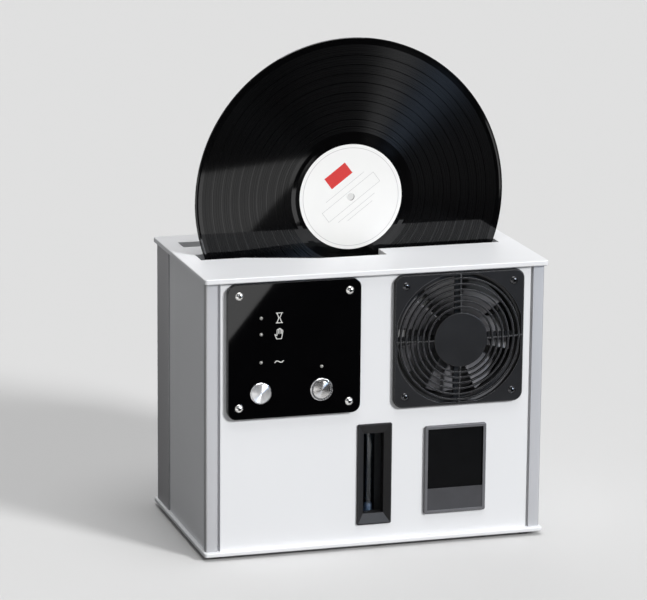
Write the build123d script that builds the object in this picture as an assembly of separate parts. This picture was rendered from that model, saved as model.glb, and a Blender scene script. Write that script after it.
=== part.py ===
from build123d import *
import math
import os

# Record cleaning machine. Millimetres, +X right, +Y to the back, +Z up.
# The origin is on the table, under the middle of the case. The record stands in the plane Y = 0.
# The width follows from the record, the height from the fans over the tank, the depth from the brush motor
# and the level gauge in front of the bath.

# ---------------------------------------------------------------- driving dimensions

# record
record_radius = 150.5
record_x = 1.5
record_rim_half = 0.95
record_field_half = 0.7
record_label_half = 0.85
record_rim_width = 3.0
record_rim_chamfer = 0.5
record_label_edge_gap = 8.0
record_land_slope = 4.0
label_radius = 50.0
label_thick = 0.15
spindle_hole_radius = 3.62

# case shell
sheet = 3.0
top_thick = 5.0
base_thick = 4.0
plate_corner = 3.0
plate_edge_round = 1.0
side_overhang = 2.2
end_overhang = 5.0
foot_height = 4.0
foot_radius = 8.0
foot_taper = 1.0
foot_inset_x = 15.0
foot_inset_y = 17.0

# corner columns, measured from the outer corner
end_lip = 11.0
front_side_lip = 5.4
rear_side_lip = 43.7
panel_groove = 2.7
side_groove = 4.2
side_recess = 0.8
flange = 2.0
flange_reach = 11.0
column_round = 2.0

# record slot in the top plate
slot_end_gap = 3.37
slot_end_land = 18.0
slot_feed_y = 15.3
slot_neck_y = 8.6
slot_ramp_gap = 6.4
slot_ramp_length = 70.0
slot_step_cover = 1.39

# control panel
control_size = 126.5
control_thick = 5.0
control_corner = 8.5
control_edge_round = 0.5
control_side_gap = 5.55
control_top_gap = 1.25
control_screw_inset = 10.85
button_row = -39.2
start_x = -32.0
power_x = 25.8
light_x = -31.8
light_rows = (31.0, 15.8, -10.5)
power_light_row = -17.6
light_radius = 1.5
light_rise = 0.7

# push-button switches
start_cap_radius = 8.8
start_ring_width = 1.2
power_cap_radius = 8.2
power_ring_width = 2.5
ring_chamfer = 0.6
cap_rim = 0.2
cap_rise = 0.8
cap_skirt = 2.0
cap_stem = 2.5
cap_floor_gap = 0.1
button_travel = 1.5
switch_wall = 0.5
switch_barrel_depth = 16.0
switch_nut_width = 3.0
switch_nut_thick = 3.0

# button-head screws
screw_radius = 2.0
screw_hole_radius = 2.1
screw_head_radius = 3.9
screw_head_height = 2.0
screw_hex = 2.5
screw_hex_depth = 1.2
control_screw_grip = 2.0
fan_screw_grip = 6.0

# fan and its guard
fan_size = 119.5
fan_corner = 6.0
fan_depth = 25.0
fan_wall = 2.25
fan_screw_inset = 7.35
fan_strut_width = 5.0
fan_strut_depth = 3.0
fan_cup_depth = 5.0
fan_cup_floor = 1.0
fan_hub_radius = 20.0
fan_blade_count = 7
fan_blade_thick = 1.6
fan_blade_root_pitch = 46.0
fan_blade_tip_pitch = 25.0
fan_tip_gap = 1.5
fan_rear_gap = 1.5
fan_join = 1.0
fan_shaft_radius = 2.0
fan_port_gap = 3.5
fan_deck_gap = 2.75
guard_lip = 3.25
guard_side_gap = 7.6
guard_top_gap = 1.5
guard_corner = 9.0
guard_thick = 4.5
guard_edge = 0.8
guard_hub_height = 9.0
guard_rim_height = 6.0
guard_frame_width = 2.7
guard_hub_radius = 25.8
guard_hub_thick = 3.0
guard_ring_count = 6
guard_ring_width = 1.5
guard_ring_depth = 3.2
guard_rib_width = 1.2
guard_rib_sink = 0.4

# air ducts
duct_wall = 1.5
duct_flange = 2.0
duct_filter_gap = 1.0
duct_outlet_height = 8.5
duct_rim_gap = 0.6
duct_side_gap = 1.0

# sight recess and level gauge
sight_x = -1.4
sight_row_gap = 15.05
sight_width = 33.3
sight_height = 96.7
sight_proud = 2.0
sight_rim = 1.2
sight_corner = 1.5
sight_edge_round = 0.6
sight_flange = 1.95
sight_splay_side = 6.85
sight_splay_end = 9.85
sight_splay_depth = 4.0
sight_tunnel_depth = 13.0
sight_tunnel_wall = 1.5
tube_radius = 6.0
tube_wall = 1.3
tube_floor_gap = 14.0
tube_top_gap = 12.0
tube_front_gap = 2.0
tube_gap = 3.0
tube_end = 4.0
nipple_radius = 3.0
nipple_rise = 8.0
float_gap = 0.4
float_height = 12.0
float_round = 1.0

# badge plate
badge_offset = 1.2
badge_width = 60.3
badge_height = 84.6
badge_thick = 3.0
badge_corner = 2.0
badge_edge_round = 0.8
badge_rim = 3.0
badge_split = 21.0
badge_upper_depth = 1.4
badge_lower_depth = 0.5

# reservoir, deck and cleaning bath
tank_depth = 94.0
tank_side_gap = 7.0
tank_rear_gap = 3.0
deck_thick = 4.0
bath_margin = 3.0
bath_wall = 3.0
bath_rim_gap = 11.0

# rollers that carry the record
wheel_offset = 60.0
wheel_groove_radius = 11.5
wheel_flange_radius = 14.0
wheel_floor_gap = 13.7
wheel_width = 8.0
wheel_groove_floor = 2.6
wheel_groove_mouth = 5.6
record_gap = 0.3
axle_radius = 3.0
running_gap = 0.08
drive_motor_radius = 13.0
drive_motor_length = 27.0
motor_chamfer = 1.0
shaft_head = 2.0
shaft_grip = 9.0
bore_end_gap = 1.0
axle_boss_radius = 7.0
axle_boss_length = 7.0

# brush rollers
brush_radius = 14.5
brush_core_radius = 9.0
brush_gap = 1.0
brush_wall_gap = 4.25
brush_floor_gap = 20.5
brush_rim_gap = 0.5
brush_cap_radius = 12.0
brush_cap_thick = 2.5

# gears between the lid of the reservoir and the deck
brush_teeth = 30
cross_teeth = 12
transfer_teeth = 18
motor_teeth = 14
gear_thick = 4.0
gear_level_gap = 1.0
gear_floor_gap = 2.0
gear_roof_gap = 4.0
tooth_root_share = 0.27
tooth_tip_share = 0.12
tooth_addendum = 0.9
tooth_dedendum = 1.2
pin_radius = 2.0
pin_floor_gap = 1.0
motor_shaft_grip = 12.0
motor_shaft_drop = 2.0
motor_hole_radius = 3.0
brush_motor_radius = 11.0
brush_motor_length = 38.0
motor_bath_gap = 1.0
motor_edge_gap = 0.5

# ultrasonic transducer
transducer_radius = 20.0
transducer_stack_radius = 14.0
transducer_horn = 12.0
transducer_length = 30.0
transducer_rise = 53.0

# pump and hoses
pump_length = 44.0
pump_head_length = 16.0
pump_radius = 17.0
pump_head_radius = 19.0
pump_rear_gap = 7.0
pump_deck_gap = 3.0
pump_chamfer = 2.0
saddle_half_width = 12.0
saddle_inset = 5.0
saddle_sink = 2.0
hose_radius = 4.0
barb_radius = 3.0
barb_length = 6.0
suction_side_gap = 12.0
suction_run = 6.0
suction_floor_gap = 5.0
suction_bend = 5.5
supply_drop = 35.0
supply_bend = 10.0

# filter and the well that it is lifted through
well_side_gap = 8.0
well_length = 23.0
well_depth = 22.0
filter_radius = 9.0
filter_fan_gap = 0.8
filter_foam_gap = 8.0
filter_rod_radius = 2.5
filter_knob_radius = 8.0
filter_knob_height = 10.0
filter_knob_sink = 7.0
filter_knob_round = 1.5
filter_rod_rise = 3.0
filter_hole_gap = 0.4
filter_drain_radius = 5.0

# boards
board_thick = 1.6
board_post_radius = 3.0
board_post_inset = 6.0
control_board_gap = 1.0
control_board_margin = 8.0
control_board_rise = 10.0
control_post_rise = 14.0
processor_size = 14.0
processor_thick = 2.0
relay_width = 16.0
relay_height = 12.0
relay_thick = 5.0
generator_width = 110.0
generator_height = 70.0
generator_side_gap = 14.1
generator_top_gap = 11.0
generator_post_length = 13.4
sink_inset = 8.0
sink_width = 40.0
sink_base_thick = 3.0
sink_fin_thick = 1.6
sink_fin_depth = 7.0
sink_fin_count = 6
coil_radius = 6.0
coil_depth = 9.0
coil_pitch = 22.0

# rear connections
inlet_side_gap = 12.6
inlet_deck_gap = 16.0
inlet_radius = 6.0
inlet_flange_radius = 8.5
inlet_flange_thick = 2.0
inlet_flange_chamfer = 0.5
inlet_nut_radius = 8.5
inlet_nut_thick = 3.0
inlet_floor = 3.0
inlet_bore = 3.2
inlet_pin = 1.0
inlet_depth = 12.0
drain_side_gap = 28.1
drain_floor_gap = 5.0
drain_radius = 7.0
drain_head_radius = 11.0
drain_head_proud = 6.0
drain_head_chamfer = 1.0
drain_grip_count = 8
drain_grip_radius = 1.6

# general clearances
seat_gap = 0.3
hole_gap = 0.1
overcut = 1.0

# ---------------------------------------------------------------- heights, from the table up

floor_z = foot_height + base_thick
tank_lid_z = floor_z + tank_depth
lid_top = tank_lid_z + sheet
level_a = lid_top + gear_floor_gap
level_b = level_a + gear_thick + gear_level_gap
level_c = level_b + gear_thick + gear_level_gap
level_d = level_c + gear_thick + gear_level_gap
tank_top = level_d + gear_thick + gear_roof_gap
deck_top = tank_top + deck_thick
bath_floor = deck_top + bath_wall
guard_size = fan_size + 2 * guard_lip
ceiling_z = deck_top + fan_deck_gap + fan_size + guard_lip + guard_top_gap
case_top = ceiling_z + top_thick
wall_height = ceiling_z - floor_z
bath_rim = ceiling_z - bath_rim_gap
brush_top = bath_rim - brush_rim_gap - brush_cap_thick
brush_bottom = bath_floor + brush_floor_gap + brush_cap_thick
wheel_z = bath_floor + wheel_floor_gap + wheel_flange_radius
wheel_reach = record_radius + record_gap + wheel_groove_radius
record_z = wheel_z + math.sqrt(wheel_reach ** 2 - wheel_offset ** 2)
control_z = ceiling_z - control_top_gap - control_size / 2
fan_z = ceiling_z - guard_top_gap - guard_size / 2
low_row_z = floor_z + sight_row_gap + sight_height / 2
button_z = control_z + button_row
tube_bottom = floor_z + tube_floor_gap
tube_top = tank_top - tube_top_gap
transducer_z = bath_floor + transducer_rise
pump_z = deck_top + pump_deck_gap + pump_head_radius
pump_outlet_z = pump_z + pump_head_radius + barb_length
suction_bottom = floor_z + sheet + suction_floor_gap
supply_z = bath_rim - supply_drop
filter_knob_top = ceiling_z - filter_knob_sink
filter_knob_bottom = filter_knob_top - filter_knob_height
filter_top = filter_knob_bottom - filter_foam_gap
filter_rod_bottom = lid_top + seat_gap + filter_rod_rise
generator_z1 = ceiling_z - generator_top_gap
generator_z0 = generator_z1 - generator_height
inlet_z = deck_top + inlet_deck_gap
drain_z = floor_z + drain_floor_gap + drain_head_radius

# ---------------------------------------------------------------- brushes and gears, from the record out

brush_y = record_rim_half + record_gap + brush_radius
gear_module = (2 * brush_radius + brush_gap) / brush_teeth
cross_distance = gear_module * (brush_teeth + cross_teeth) / 2
brush_near_x = math.sqrt(cross_distance ** 2 - brush_y ** 2)
brush_far_x = gear_module * brush_teeth - brush_near_x
slot_bay_y = brush_y + brush_radius + brush_wall_gap
slot_step_x = brush_near_x + brush_radius - slot_step_cover
slot_ramp_inner = brush_far_x + brush_radius + slot_ramp_gap
slot_ramp_outer = slot_ramp_inner + slot_ramp_length
bath_neck_y = slot_neck_y + bath_margin + bath_wall
bath_bay_y = slot_bay_y + bath_margin + bath_wall
motor_y = -bath_bay_y - motor_bath_gap - brush_motor_radius
gear_line_length = gear_module * (brush_teeth + 2 * transfer_teeth + motor_teeth) / 2
gear_line_run = math.sqrt(gear_line_length ** 2 - (motor_y + brush_y) ** 2)
motor_x = -brush_far_x - gear_line_run
transfer_share = gear_module * (brush_teeth + transfer_teeth) / 2 / gear_line_length
transfer_x = -brush_far_x - transfer_share * gear_line_run
transfer_y = -brush_y + transfer_share * (motor_y + brush_y)

# ---------------------------------------------------------------- depths, from the bath to the front and back

tank_front = motor_y - brush_motor_radius - motor_edge_gap
tube_y = tank_front - tube_gap - tube_radius
sight_back_y = tube_y - tube_radius - tube_front_gap
face_y = sight_tunnel_depth - sight_proud - sight_back_y
plate_half_y = face_y + end_overhang
case_depth = 2 * plate_half_y
panel_back_y = face_y - sheet
panel_seat = -face_y - control_thick
tank_back = face_y - sheet - flange - tank_rear_gap
fan_back_y = panel_back_y - fan_depth
filter_y = fan_back_y - filter_radius - filter_fan_gap
pump_y = tank_back - pump_rear_gap - pump_head_radius
control_board_y = switch_barrel_depth + control_board_gap - face_y
generator_board_y = panel_back_y - generator_post_length - board_thick

# ---------------------------------------------------------------- widths, from the record to the sides

slot_chord = math.sqrt(record_radius ** 2 - (record_z - case_top) ** 2)
slot_half_length = slot_chord + record_x + slot_end_gap
plate_half_x = slot_half_length + slot_end_land
case_width = 2 * plate_half_x
case_x = plate_half_x - side_overhang
side_outer_x = case_x - side_recess
column_inner_x = side_outer_x - sheet - flange
panel_half_x = case_x - end_lip - panel_groove
tank_half_x = column_inner_x - tank_side_gap
drive_x = record_x - wheel_offset
idler_x = record_x + wheel_offset
control_x = control_side_gap + control_size / 2 - panel_half_x
fan_x = panel_half_x - guard_side_gap - guard_size / 2
badge_x = fan_x - badge_offset
filter_x = well_side_gap + well_length / 2 - column_inner_x
duct_x0 = slot_step_x + bath_margin + bath_wall + duct_side_gap
duct_x1 = -filter_x - filter_radius - duct_filter_gap
suction_x = tank_half_x - suction_side_gap
pump_x2 = suction_x - suction_run - barb_length
pump_x1 = pump_x2 - pump_head_length
pump_x0 = pump_x1 - pump_length
pump_outlet_x = pump_x2 - pump_head_length / 2
generator_x1 = panel_half_x - generator_side_gap
generator_x0 = generator_x1 - generator_width
inlet_x = panel_half_x - inlet_side_gap - inlet_flange_radius
drain_x = panel_half_x - drain_side_gap - drain_head_radius

# ---------------------------------------------------------------- other worked-out sizes

bearing_radius = axle_radius + running_gap
record_field_inner = label_radius + record_label_edge_gap
ring_proud = button_travel + cap_floor_gap
cap_shoulder = ring_proud + cap_rim
control_screw_pitch = control_size - 2 * control_screw_inset
control_screw_length = control_thick + sheet + control_screw_grip
fan_screw_pitch = fan_size - 2 * fan_screw_inset
fan_screw_length = guard_thick + sheet + fan_screw_grip
fan_bore_radius = fan_size / 2 - fan_wall
fan_rotor_front = fan_cup_depth + seat_gap
fan_rotor_back = fan_depth - fan_rear_gap
panel_fan_radius = fan_bore_radius + fan_port_gap
guard_opening_radius = guard_size / 2
guard_opening_half = guard_size / 2 - guard_frame_width
guard_ring_pitch = (guard_opening_radius - guard_hub_radius) / (guard_ring_count + 1)
sight_mouth_width = sight_width - 2 * sight_splay_side
sight_mouth_height = sight_height - 2 * sight_splay_end
tube_bore = tube_radius - tube_wall
float_radius = tube_bore - float_gap
light_spots = [(control_x + light_x, control_z + row) for row in light_rows]
light_spots.append((control_x + power_x, control_z + power_light_row))
switches = [(start_x, start_cap_radius), (power_x, power_cap_radius)]

os.makedirs("parts", exist_ok=True)


def save(name, *solids):
    shape = solids[0] if len(solids) == 1 else Compound(children=list(solids))
    export_step(shape, "parts/" + name + ".step")


# ---------------------------------------------------------------- small helpers


def block(x0, x1, y0, y1, z0, z1):
    return Pos((x0 + x1) / 2, (y0 + y1) / 2, (z0 + z1) / 2) * Box(x1 - x0, y1 - y0, z1 - z0)


def rod_x(y, z, radius, x0, x1):
    return Pos((x0 + x1) / 2, y, z) * Rot(0, 90, 0) * Cylinder(radius, x1 - x0)


def rod_y(x, z, radius, y0, y1):
    return Pos(x, (y0 + y1) / 2, z) * Rot(90, 0, 0) * Cylinder(radius, y1 - y0)


def rod_z(x, y, radius, z0, z1):
    return Pos(x, y, (z0 + z1) / 2) * Cylinder(radius, z1 - z0)


def prism(points, z0, z1):
    face = make_face(Polyline(*points, close=True))
    return Pos(0, 0, z0) * extrude(face, z1 - z0, dir=(0, 0, 1))


def front_plane(x, y, z):
    # drawn as seen from the front: sketch x to the right, sketch y up, extruded towards the viewer
    return Plane((x, y, z), x_dir=(1, 0, 0), z_dir=(0, -1, 0))


def front_solid(sketch, x, y, z, thick):
    return extrude(front_plane(x, y, z) * sketch, thick)


def dome(radius, rise):
    # spherical cap on a flat circle at the origin, bulging towards -Y
    ball = (radius ** 2 + rise ** 2) / (2 * rise)
    half_angle = math.asin(radius / ball) / 2
    middle = (ball * math.sin(half_angle), ball - rise - ball * math.cos(half_angle))
    profile = Line((0, 0), (radius, 0))
    profile += ThreePointArc((radius, 0), middle, (0, -rise))
    profile += Line((0, -rise), (0, 0))
    return revolve(make_face(profile), Axis.Y)


def corner_spots(x, z, pitch):
    half = pitch / 2
    return [(x + sx * half, z + sz * half) for sx in (-1, 1) for sz in (-1, 1)]


def to_rear(part):
    return Rot(0, 0, 180) * part


def slot_outline(grow):
    # front half of the outline, then the same half turned by 180 degrees
    half = [
        (-slot_half_length - grow, -slot_feed_y - grow),
        (-slot_ramp_outer, -slot_feed_y - grow),
        (-slot_ramp_inner, -slot_bay_y - grow),
        (slot_step_x + grow, -slot_bay_y - grow),
        (slot_step_x + grow, -slot_neck_y - grow),
        (slot_half_length + grow, -slot_neck_y - grow),
    ]
    return half + [(-x, -y) for x, y in half]


# ---------------------------------------------------------------- case


def case_plate(z0, z1):
    plate = Pos(0, 0, z0) * extrude(RectangleRounded(case_width, case_depth, plate_corner), z1 - z0)
    rims = plate.edges().group_by(Axis.Z)
    return fillet(rims[0] + rims[-1], plate_edge_round)


def top_plate():
    plate = case_plate(ceiling_z, case_top)
    plate -= prism(slot_outline(0), ceiling_z - overcut, case_top + overcut)
    return plate - block(
        filter_x - well_length / 2, filter_x + well_length / 2,
        filter_y - well_depth / 2, filter_y + well_depth / 2,
        ceiling_z - overcut, case_top + overcut,
    )


def feet():
    x = plate_half_x - foot_inset_x
    y = plate_half_y - foot_inset_y
    foot = Cone(foot_radius - foot_taper, foot_radius, foot_height)
    return [Pos(sx * x, sy * y, foot_height / 2) * foot for sx in (-1, 1) for sy in (-1, 1)]


def column(sx, sy, side_lip):
    # cross-section from the outer corner, along the end face and then along the side face
    panel_inner = side_recess + sheet
    flange_end = side_lip + side_groove + flange_reach
    outline = [
        (0, 0),
        (end_lip, 0),
        (end_lip, sheet),
        (end_lip + flange_reach, sheet),
        (end_lip + flange_reach, sheet + flange),
        (panel_inner + flange, sheet + flange),
        (panel_inner + flange, flange_end),
        (panel_inner, flange_end),
        (panel_inner, side_lip),
        (0, side_lip),
    ]
    points = [(sx * (case_x - u), sy * (face_y - v)) for u, v in outline]
    body = prism(points, floor_z, ceiling_z)
    corner = body.edges().filter_by(Axis.Z).sort_by_distance((sx * case_x, sy * face_y, case_top / 2))[0]
    return fillet(corner, column_round)


def end_panel():
    middle_z = (floor_z + ceiling_z) / 2
    panel = front_solid(Rectangle(2 * panel_half_x, wall_height), 0, -panel_back_y, middle_z, sheet)
    panel -= front_hole(fan_x, fan_z, panel_fan_radius)
    for x, z in corner_spots(fan_x, fan_z, fan_screw_pitch):
        panel -= front_hole(x, z, screw_hole_radius)
    return panel


def front_hole(x, z, radius):
    # through the front panel and whatever stands in front of it
    return rod_y(x, z, radius, -plate_half_y - overcut, -panel_back_y + overcut)


def control_holes():
    spots = corner_spots(control_x, control_z, control_screw_pitch)
    holes = [front_hole(x, z, screw_hole_radius) for x, z in spots]
    holes += [front_hole(x, z, light_radius + hole_gap) for x, z in light_spots]
    for dx, cap_radius in switches:
        holes.append(front_hole(control_x + dx, button_z, barrel_radius(cap_radius) + hole_gap))
    return holes


def front_panel():
    panel = end_panel()
    for hole in control_holes():
        panel -= hole
    cutout = sight_body(hole_gap)
    return panel - front_solid(cutout, sight_x, -panel_back_y + overcut, low_row_z, sheet + 2 * overcut)


def rear_panel():
    panel = to_rear(end_panel())
    for x, z, radius in ((inlet_x, inlet_z, inlet_radius), (drain_x, drain_z, drain_radius)):
        panel -= rod_y(x, z, radius + hole_gap, panel_back_y - overcut, plate_half_y)
    return panel


def side_panel(side):
    y0 = -face_y + front_side_lip + side_groove
    y1 = face_y - rear_side_lip - side_groove
    x0, x1 = sorted((side * side_outer_x, side * (side_outer_x - sheet)))
    return block(x0, x1, y0, y1, floor_z, ceiling_z)


# ---------------------------------------------------------------- control panel


def control_panel():
    outline = RectangleRounded(control_size, control_size, control_corner)
    plate = front_solid(outline, control_x, -face_y, control_z, control_thick)
    plate = fillet(plate.faces().sort_by(Axis.Y)[0].edges(), control_edge_round)
    for hole in control_holes():
        plate -= hole
    return plate


def button_screw(x, z, seat, length):
    # domed head on the face at seat, shank towards +Y
    head = Pos(x, seat, z) * dome(screw_head_radius, screw_head_height)
    hexagon = RegularPolygon(screw_hex / 2, 6, major_radius=False)
    head -= front_solid(hexagon, x, seat - screw_head_height + screw_hex_depth, z, screw_hex_depth + overcut)
    return head + rod_y(x, z, screw_radius, seat, seat + length)


def panel_screws():
    screws = [
        button_screw(x, z, panel_seat, control_screw_length)
        for x, z in corner_spots(control_x, control_z, control_screw_pitch)
    ]
    for x, z in corner_spots(fan_x, fan_z, fan_screw_pitch):
        screw = button_screw(x, z, -face_y - guard_thick, fan_screw_length)
        screws += [screw, to_rear(screw)]
    return screws


def indicator_lights():
    # light pipes from the board, each with a low dome in front of the panel
    lights = []
    for x, z in light_spots:
        pipe = rod_y(x, z, light_radius, panel_seat, control_board_y)
        lights.append(pipe + Pos(x, panel_seat, z) * dome(light_radius, light_rise))
    return lights


def barrel_radius(cap_radius):
    return cap_radius + hole_gap + switch_wall


def switch_body(dx, cap_radius, ring_width):
    # ring in front of the panel, barrel and nut behind it, blind stepped bore for the cap
    x = control_x + dx
    z = button_z
    barrel = barrel_radius(cap_radius)
    ring = rod_y(x, z, cap_radius + ring_width, panel_seat - ring_proud, panel_seat)
    body = chamfer(ring.faces().sort_by(Axis.Y)[0].edges(), ring_chamfer)
    body += rod_y(x, z, barrel, panel_seat, -face_y + switch_barrel_depth)
    nut = RegularPolygon(barrel + switch_nut_width, 6)
    body += front_solid(nut, x, -panel_back_y + switch_nut_thick, z, switch_nut_thick)
    body -= rod_y(x, z, cap_radius + hole_gap, panel_seat - ring_proud - overcut, panel_seat)
    stem_end = panel_seat + cap_stem + 2 * button_travel
    return body - rod_y(x, z, cap_radius - cap_skirt + hole_gap, panel_seat - overcut, stem_end)


def button_cap(dx, cap_radius):
    # low dome; its skirt enters the ring and its stem is guided in the barrel
    x = control_x + dx
    z = button_z
    shoulder = panel_seat - cap_shoulder
    skirt_end = panel_seat - ring_proud
    cap = Pos(x, shoulder, z) * dome(cap_radius, cap_rise)
    cap += rod_y(x, z, cap_radius, shoulder, skirt_end)
    return cap + rod_y(x, z, cap_radius - cap_skirt, skirt_end, panel_seat + cap_stem)


def board_posts(x0, x1, z0, z1, y0, y1):
    return [rod_y(x, z, board_post_radius, y0, y1) for x in (x0, x1) for z in (z0, z1)]


def control_board():
    x0 = control_x - control_size / 2 + control_board_margin
    x1 = control_x + control_size / 2 - control_board_margin
    z0 = deck_top + control_board_rise
    z1 = ceiling_z - control_board_margin
    back = control_board_y + board_thick
    board = block(x0, x1, control_board_y, back, z0, z1)
    chip_z = (z0 + z1) / 2
    chip_x1 = control_x + processor_size
    board += block(control_x, chip_x1, back, back + processor_thick, chip_z, chip_z + processor_size)
    relay_z = z1 - 2 * relay_height
    for x in (control_x - 2 * relay_width, control_x + relay_width):
        board += block(x, x + relay_width, back, back + relay_thick, relay_z, relay_z + relay_height)
    posts = board_posts(
        x0 + board_post_inset, x1 - board_post_inset, z0 + control_post_rise, z1 - control_post_rise,
        -panel_back_y, control_board_y,
    )
    for post in posts:
        board += post
    return board


# ---------------------------------------------------------------- fan, guard and duct


def guard_height(radius):
    share = (radius - guard_hub_radius) / (guard_opening_radius - guard_hub_radius)
    return guard_hub_height - share * (guard_hub_height - guard_rim_height)


def fan_guard():
    frame = front_solid(RectangleRounded(guard_size, guard_size, guard_corner), 0, 0, 0, guard_thick)
    frame = chamfer(frame.faces().sort_by(Axis.Y)[0].edges(), guard_edge)
    opening = Circle(guard_opening_radius) & Rectangle(2 * guard_opening_half, 2 * guard_opening_half)
    frame -= front_solid(opening, 0, overcut, 0, guard_thick + 2 * overcut)
    for x, z in corner_spots(0, 0, fan_screw_pitch):
        frame -= rod_y(x, z, screw_hole_radius, -guard_thick - overcut, overcut)
    hub = rod_y(0, 0, guard_hub_radius, -guard_hub_height, guard_hub_thick - guard_hub_height)
    guard = frame + fillet(hub.faces().sort_by(Axis.Y)[0].edges(), guard_edge)
    for count in range(1, guard_ring_count + 1):
        radius = guard_hub_radius + count * guard_ring_pitch
        ring = Circle(radius + guard_ring_width / 2) - Circle(radius - guard_ring_width / 2)
        guard += front_solid(ring, 0, guard_ring_depth - guard_height(radius), 0, guard_ring_depth)
    # a rib follows the dome from the hub to the frame, and is turned to all four sides
    inner = guard_hub_radius - fan_join
    outer = guard_opening_half + fan_join
    rib = prism([
        (inner, guard_rib_sink - guard_height(inner)),
        (outer, guard_rib_sink - guard_height(outer)),
        (outer, guard_ring_depth - guard_height(outer)),
        (inner, guard_ring_depth - guard_height(inner)),
    ], -guard_rib_width / 2, guard_rib_width / 2)
    for turn in range(4):
        guard += Rot(0, 90 * turn, 0) * rib
    return Pos(fan_x, -face_y, fan_z) * guard


def fan_frame():
    outline = RectangleRounded(fan_size, fan_size, fan_corner) - Circle(fan_bore_radius)
    frame = front_solid(outline, 0, fan_depth, 0, fan_depth)
    for x, z in corner_spots(0, 0, fan_screw_pitch):
        frame -= rod_y(x, z, screw_hole_radius, -overcut, fan_depth + overcut)
    frame += rod_y(0, 0, fan_hub_radius, 0, fan_cup_depth)
    reach = fan_bore_radius + fan_join
    strut = block(-reach, reach, 0, fan_strut_depth, -fan_strut_width / 2, fan_strut_width / 2)
    frame = frame + strut + Rot(0, 90, 0) * strut
    frame -= rod_y(0, 0, fan_shaft_radius + running_gap, fan_cup_floor, fan_cup_depth + overcut)
    return Pos(fan_x, -panel_back_y, fan_z) * frame


def fan_blade_section(radius, pitch):
    # section across the blade at this radius; every section spans the same depth
    lean = math.radians(pitch)
    middle_y = (fan_rotor_front + fan_rotor_back) / 2
    span = fan_rotor_back - fan_rotor_front - 2 * fan_join
    plane = Plane((radius, middle_y, 0), x_dir=(0, math.sin(lean), math.cos(lean)), z_dir=(1, 0, 0))
    return plane * Rectangle(span / math.sin(lean), fan_blade_thick)


def fan_rotor():
    rotor = rod_y(0, 0, fan_hub_radius, fan_rotor_front, fan_rotor_back)
    rotor += rod_y(0, 0, fan_shaft_radius, fan_cup_floor + seat_gap, fan_rotor_front)
    tip = fan_bore_radius - fan_tip_gap
    blade = loft([
        fan_blade_section(fan_hub_radius - fan_join, fan_blade_root_pitch),
        fan_blade_section(tip + fan_join, fan_blade_tip_pitch),
    ])
    blade &= rod_y(0, 0, tip, 0, fan_depth)
    for count in range(fan_blade_count):
        rotor += Rot(0, 360 / fan_blade_count * count, 0) * blade
    return Pos(fan_x, -panel_back_y, fan_z) * rotor


def duct_section(y, x0, x1, z0, z1):
    return front_plane((x0 + x1) / 2, y, (z0 + z1) / 2) * Rectangle(x1 - x0, z1 - z0)


def duct_hull(inset, y_end):
    # tapers from the back of the fan to a flat nozzle over the rim of the bath
    half = fan_size / 2
    rim_y = -bath_neck_y - duct_rim_gap
    outlet_z0 = bath_rim + seat_gap + inset
    outlet_z1 = bath_rim + seat_gap + duct_outlet_height - inset
    x0 = duct_x0 + inset
    x1 = duct_x1 - inset
    taper = loft([
        duct_section(-fan_back_y, x0, x1, fan_z - half + inset, fan_z + half - inset),
        duct_section(rim_y, x0, x1, outlet_z0, outlet_z1),
    ])
    return taper + block(x0, x1, rim_y, y_end, outlet_z0, outlet_z1)


def air_duct():
    half = fan_size / 2
    nozzle_y = -slot_neck_y - bath_margin
    duct = duct_hull(0, nozzle_y) - duct_hull(duct_wall, nozzle_y + overcut)
    collar_z0 = fan_z - half
    collar_z1 = fan_z + half
    collar = block(fan_x - half, duct_x1, -fan_back_y, -fan_back_y + duct_flange, collar_z0, collar_z1)
    collar -= block(
        duct_x0 + duct_wall, duct_x1 - duct_wall,
        -fan_back_y - overcut, -fan_back_y + duct_flange + overcut,
        collar_z0 + 2 * duct_flange, collar_z1 - duct_wall,
    )
    return duct + collar


# ---------------------------------------------------------------- sight recess, gauge and badge


def sight_body(grow):
    # outline of the bezel where it passes through the front panel
    inset = sight_flange - grow
    return Rectangle(sight_width - 2 * inset, sight_height - 2 * inset)


def sight_bezel():
    # rim in front of the panel, splayed mouth, then a straight tunnel to the gauge
    rim_face = -face_y - sight_proud
    neck = rim_face + sight_splay_depth
    rim = RectangleRounded(sight_width, sight_height, sight_corner)
    bezel = front_solid(rim, sight_x, -face_y, low_row_z, sight_proud)
    bezel = fillet(bezel.faces().sort_by(Axis.Y)[0].edges(), sight_edge_round)
    throat = neck + sight_tunnel_wall
    bezel += front_solid(sight_body(0), sight_x, throat, low_row_z, throat + face_y)
    mouth = Rectangle(sight_mouth_width, sight_mouth_height)
    tunnel = Rectangle(sight_mouth_width + 2 * sight_tunnel_wall, sight_mouth_height + 2 * sight_tunnel_wall)
    bezel += front_solid(tunnel, sight_x, sight_back_y, low_row_z, sight_back_y - throat)
    splay = Rectangle(sight_width - 2 * sight_rim, sight_height - 2 * sight_rim)
    bezel -= loft([
        front_plane(sight_x, rim_face, low_row_z) * splay,
        front_plane(sight_x, neck, low_row_z) * mouth,
    ])
    behind = sight_back_y + overcut
    return bezel - front_solid(mouth, sight_x, behind, low_row_z, behind - neck)


def sight_tube():
    # sealed clear tube on two nipples of the reservoir
    tube = rod_z(sight_x, tube_y, tube_radius, tube_bottom, tube_top)
    tube -= rod_z(sight_x, tube_y, tube_bore, tube_bottom + tube_end, tube_top - tube_end)
    for z in (tube_bottom + nipple_rise, tube_top - nipple_rise):
        tube += rod_y(sight_x, z, nipple_radius, tube_y + tube_bore, tank_front)
    return tube


def level_float():
    bottom = tube_bottom + tube_end + seat_gap
    body = rod_z(sight_x, tube_y, float_radius, bottom, bottom + float_height)
    return fillet(body.edges().filter_by(GeomType.CIRCLE), float_round)


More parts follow.
